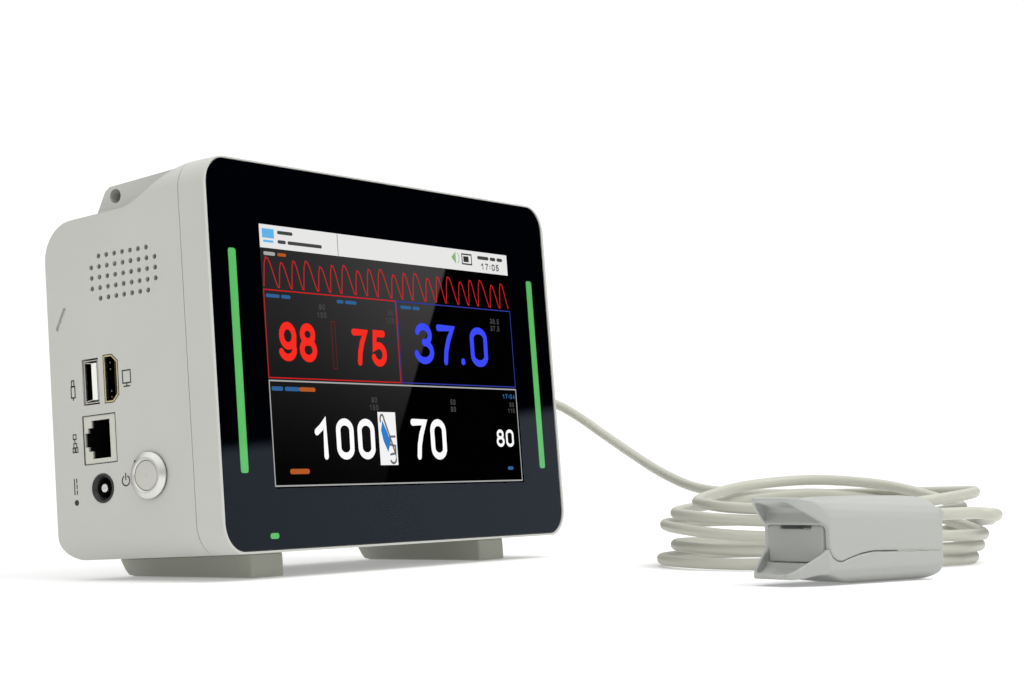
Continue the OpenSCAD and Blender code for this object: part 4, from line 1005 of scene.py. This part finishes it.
wall_picture("mark_display", 34.5, 55.1, [outline_box(-1.6, -1.9, 1.6, 1.9), [(0, -1.9), (0, -2.8)],
                                          [(-1.2, -2.9), (1.2, -2.9)]])
wall_picture("mark_data", 56.8, 53.9, [outline_box(-0.8, -3, 0.8, 0.4), outline_box(-0.5, 0.4, 0.5, 2.2),
                                       [(0, -3), (0, -3.7)]])
wall_picture("mark_network", 57.1, 37, [outline_box(-0.6, 1.2, 0.6, 2.6), outline_box(-0.9, -2.8, -0.1, -1.4),
                                        outline_box(0.3, -2.8, 1.1, -1.4), [(0, 1.2), (0, -0.1)],
                                        [(-0.5, -1.4), (-0.5, -0.1), (0.7, -0.1), (0.7, -1.4)]], width=0.36)
wall_picture("mark_supply", 57.1, 21.9, [[(-1, -0.4), (-1, 4.2)], [(0, -0.4), (0, 0.6)], [(0, 1.3), (0, 2.4)],
                                         [(0, 3.1), (0, 4.2)]], [(-0.4, -3, 0.9)])
wall_picture("mark_standby", 36.9, 24, [bow(0, 0, 1.5, 1.5, 120, 420, 20), [(0, 0.3), (0, 2.2)]])
port_part("button_dot", (31.7, 29.4), (0.6, 0.6), (-1.45, -1.1), WALL_INK, corner=0.25)


# ---------- floor, lights and camera ----------
FLOOR_HALF, FLOOR_DROP = 6, 0.0002
SKY_LOW, SKY_HIGH, SKY_TOP, BACKDROP = 0.4, 1.42, 0.9, 1.1
KEY_AT, KEY_AIM, KEY_SIZE, KEY_POWER = (50, -650, 850), (0, -40, 30), 600, 4.5
FLAG_AT, FLAG_TURN, FLAG_HALF = (1500, -1450, 160), 46, 1.6
FLAG_LINE, FLAG_SOFT, FLAG_WAVE, FLAG_GLOW = 0.085, 0.02, 0.06, 0.66
FLAG_COLOUR = (0.665, 0.8, 1.0)
# The camera that fits the photograph, in the TABLE frame
CAMERA_AT = (-582.576, -423.680, 31.061)
CAMERA_RIGHT, CAMERA_DOWN = (0.54622, -0.83746, -0.01720), (0.06477, 0.06270, -0.99593)
CAMERA_LENS, CAMERA_SENSOR, CAMERA_SHIFT = 77.46, 36, (-0.013, -0.069)


def soft_light(name, place, target, size, power):
    """A square soft box at a point of the TABLE frame that faces another one."""
    data = bpy.data.lights.new(name, "AREA")
    data.energy = power
    data.size = size * MM
    lamp = bpy.data.objects.new(name, data)
    lamp.location = TABLE @ Vector(place)
    lamp.rotation_mode = "QUATERNION"
    lamp.rotation_quaternion = (TABLE @ Vector(target) - lamp.location).to_track_quat("-Z", "Y")
    bpy.context.scene.collection.objects.link(lamp)


def studio_world():
    """White light that grows from the horizon up; the camera itself sees an even backdrop."""
    world = bpy.data.worlds.new("studio")
    bpy.context.scene.world = world
    world.use_nodes = True
    graph = Graph(world.node_tree)
    height = graph.axes(graph.coords.node.outputs["Generated"])["Z"]
    rise = graph.node("MapRange", From_Min=0, From_Max=SKY_TOP, To_Min=SKY_LOW, To_Max=SKY_HIGH, Value=height)
    path = graph.node("LightPath")
    pick = graph.node("Mix", Factor=path.outputs["Is Camera Ray"], A=rise.outputs["Result"], B=BACKDROP)
    background = world.node_tree.nodes["Background"].inputs
    background["Color"].default_value = (1, 1, 1, 1)
    graph.feed(pick.outputs["Result"], background["Strength"])


def flag_material():
    """Black velvet card with a dim, softly lit lower part; only mirrors see it."""
    mat, graph, surface = empty_graph("flag")
    wave = graph.node("TexNoise", Scale=1.6, Vector=graph.coords)
    height = graph.axes(graph.coords)["Y"]
    lift = graph.maths("MULTIPLY_ADD", wave.outputs["Fac"], -FLAG_WAVE, height)
    ramp = graph.node("MapRange", From_Min=FLAG_LINE, From_Max=FLAG_LINE - FLAG_SOFT, To_Min=0, To_Max=1,
                      Value=lift)
    ramp.interpolation_type = "SMOOTHSTEP"
    scale = graph.maths("MULTIPLY", ramp.outputs["Result"], FLAG_GLOW)
    glow = graph.node("Emission", Color=(*FLAG_COLOUR, 1), Strength=scale)
    graph.feed(glow.outputs["Emission"], surface)
    return mat


floor_bm = bmesh.new()
bmesh.ops.create_grid(floor_bm, x_segments=1, y_segments=1, size=FLOOR_HALF)
floor_white = Shader("floor_white", (0.75, 0.75, 0.75), 0.8, specular=0).mottle(400, 0.01)
floor = finish_mesh(floor_bm, "floor", floor_white.glow((1, 1, 1), 0.22).mat, None, weighted=False)
floor.location.z = -FLOOR_DROP

flag_bm = bmesh.new()
bmesh.ops.create_grid(flag_bm, x_segments=1, y_segments=1, size=FLAG_HALF)
flag = finish_mesh(flag_bm, "flag", flag_material(), None, weighted=False)
flag.location = TABLE @ Vector(FLAG_AT)
flag.rotation_euler = (math.radians(90), 0, math.radians(FLAG_TURN))
flag.visible_camera = flag.visible_diffuse = flag.visible_shadow = flag.visible_transmission = False

studio_world()
soft_light("key", KEY_AT, KEY_AIM, KEY_SIZE, KEY_POWER)

camera_data = bpy.data.cameras.new("camera")
camera_data.lens = CAMERA_LENS
camera_data.sensor_width = CAMERA_SENSOR
camera_data.shift_x, camera_data.shift_y = CAMERA_SHIFT
camera_data.clip_start = 0.01
camera = bpy.data.objects.new("camera", camera_data)
bpy.context.scene.collection.objects.link(camera)
right = Vector(CAMERA_RIGHT).normalized()
down = Vector(CAMERA_DOWN).normalized()
back = right.cross(-down)
camera.matrix_world = Matrix.Translation(TABLE @ Vector(CAMERA_AT)) @ Matrix(
    (right, -down, back)).transposed().to_4x4()
bpy.context.scene.camera = camera
bpy.context.scene.view_settings.view_transform = "Standard"
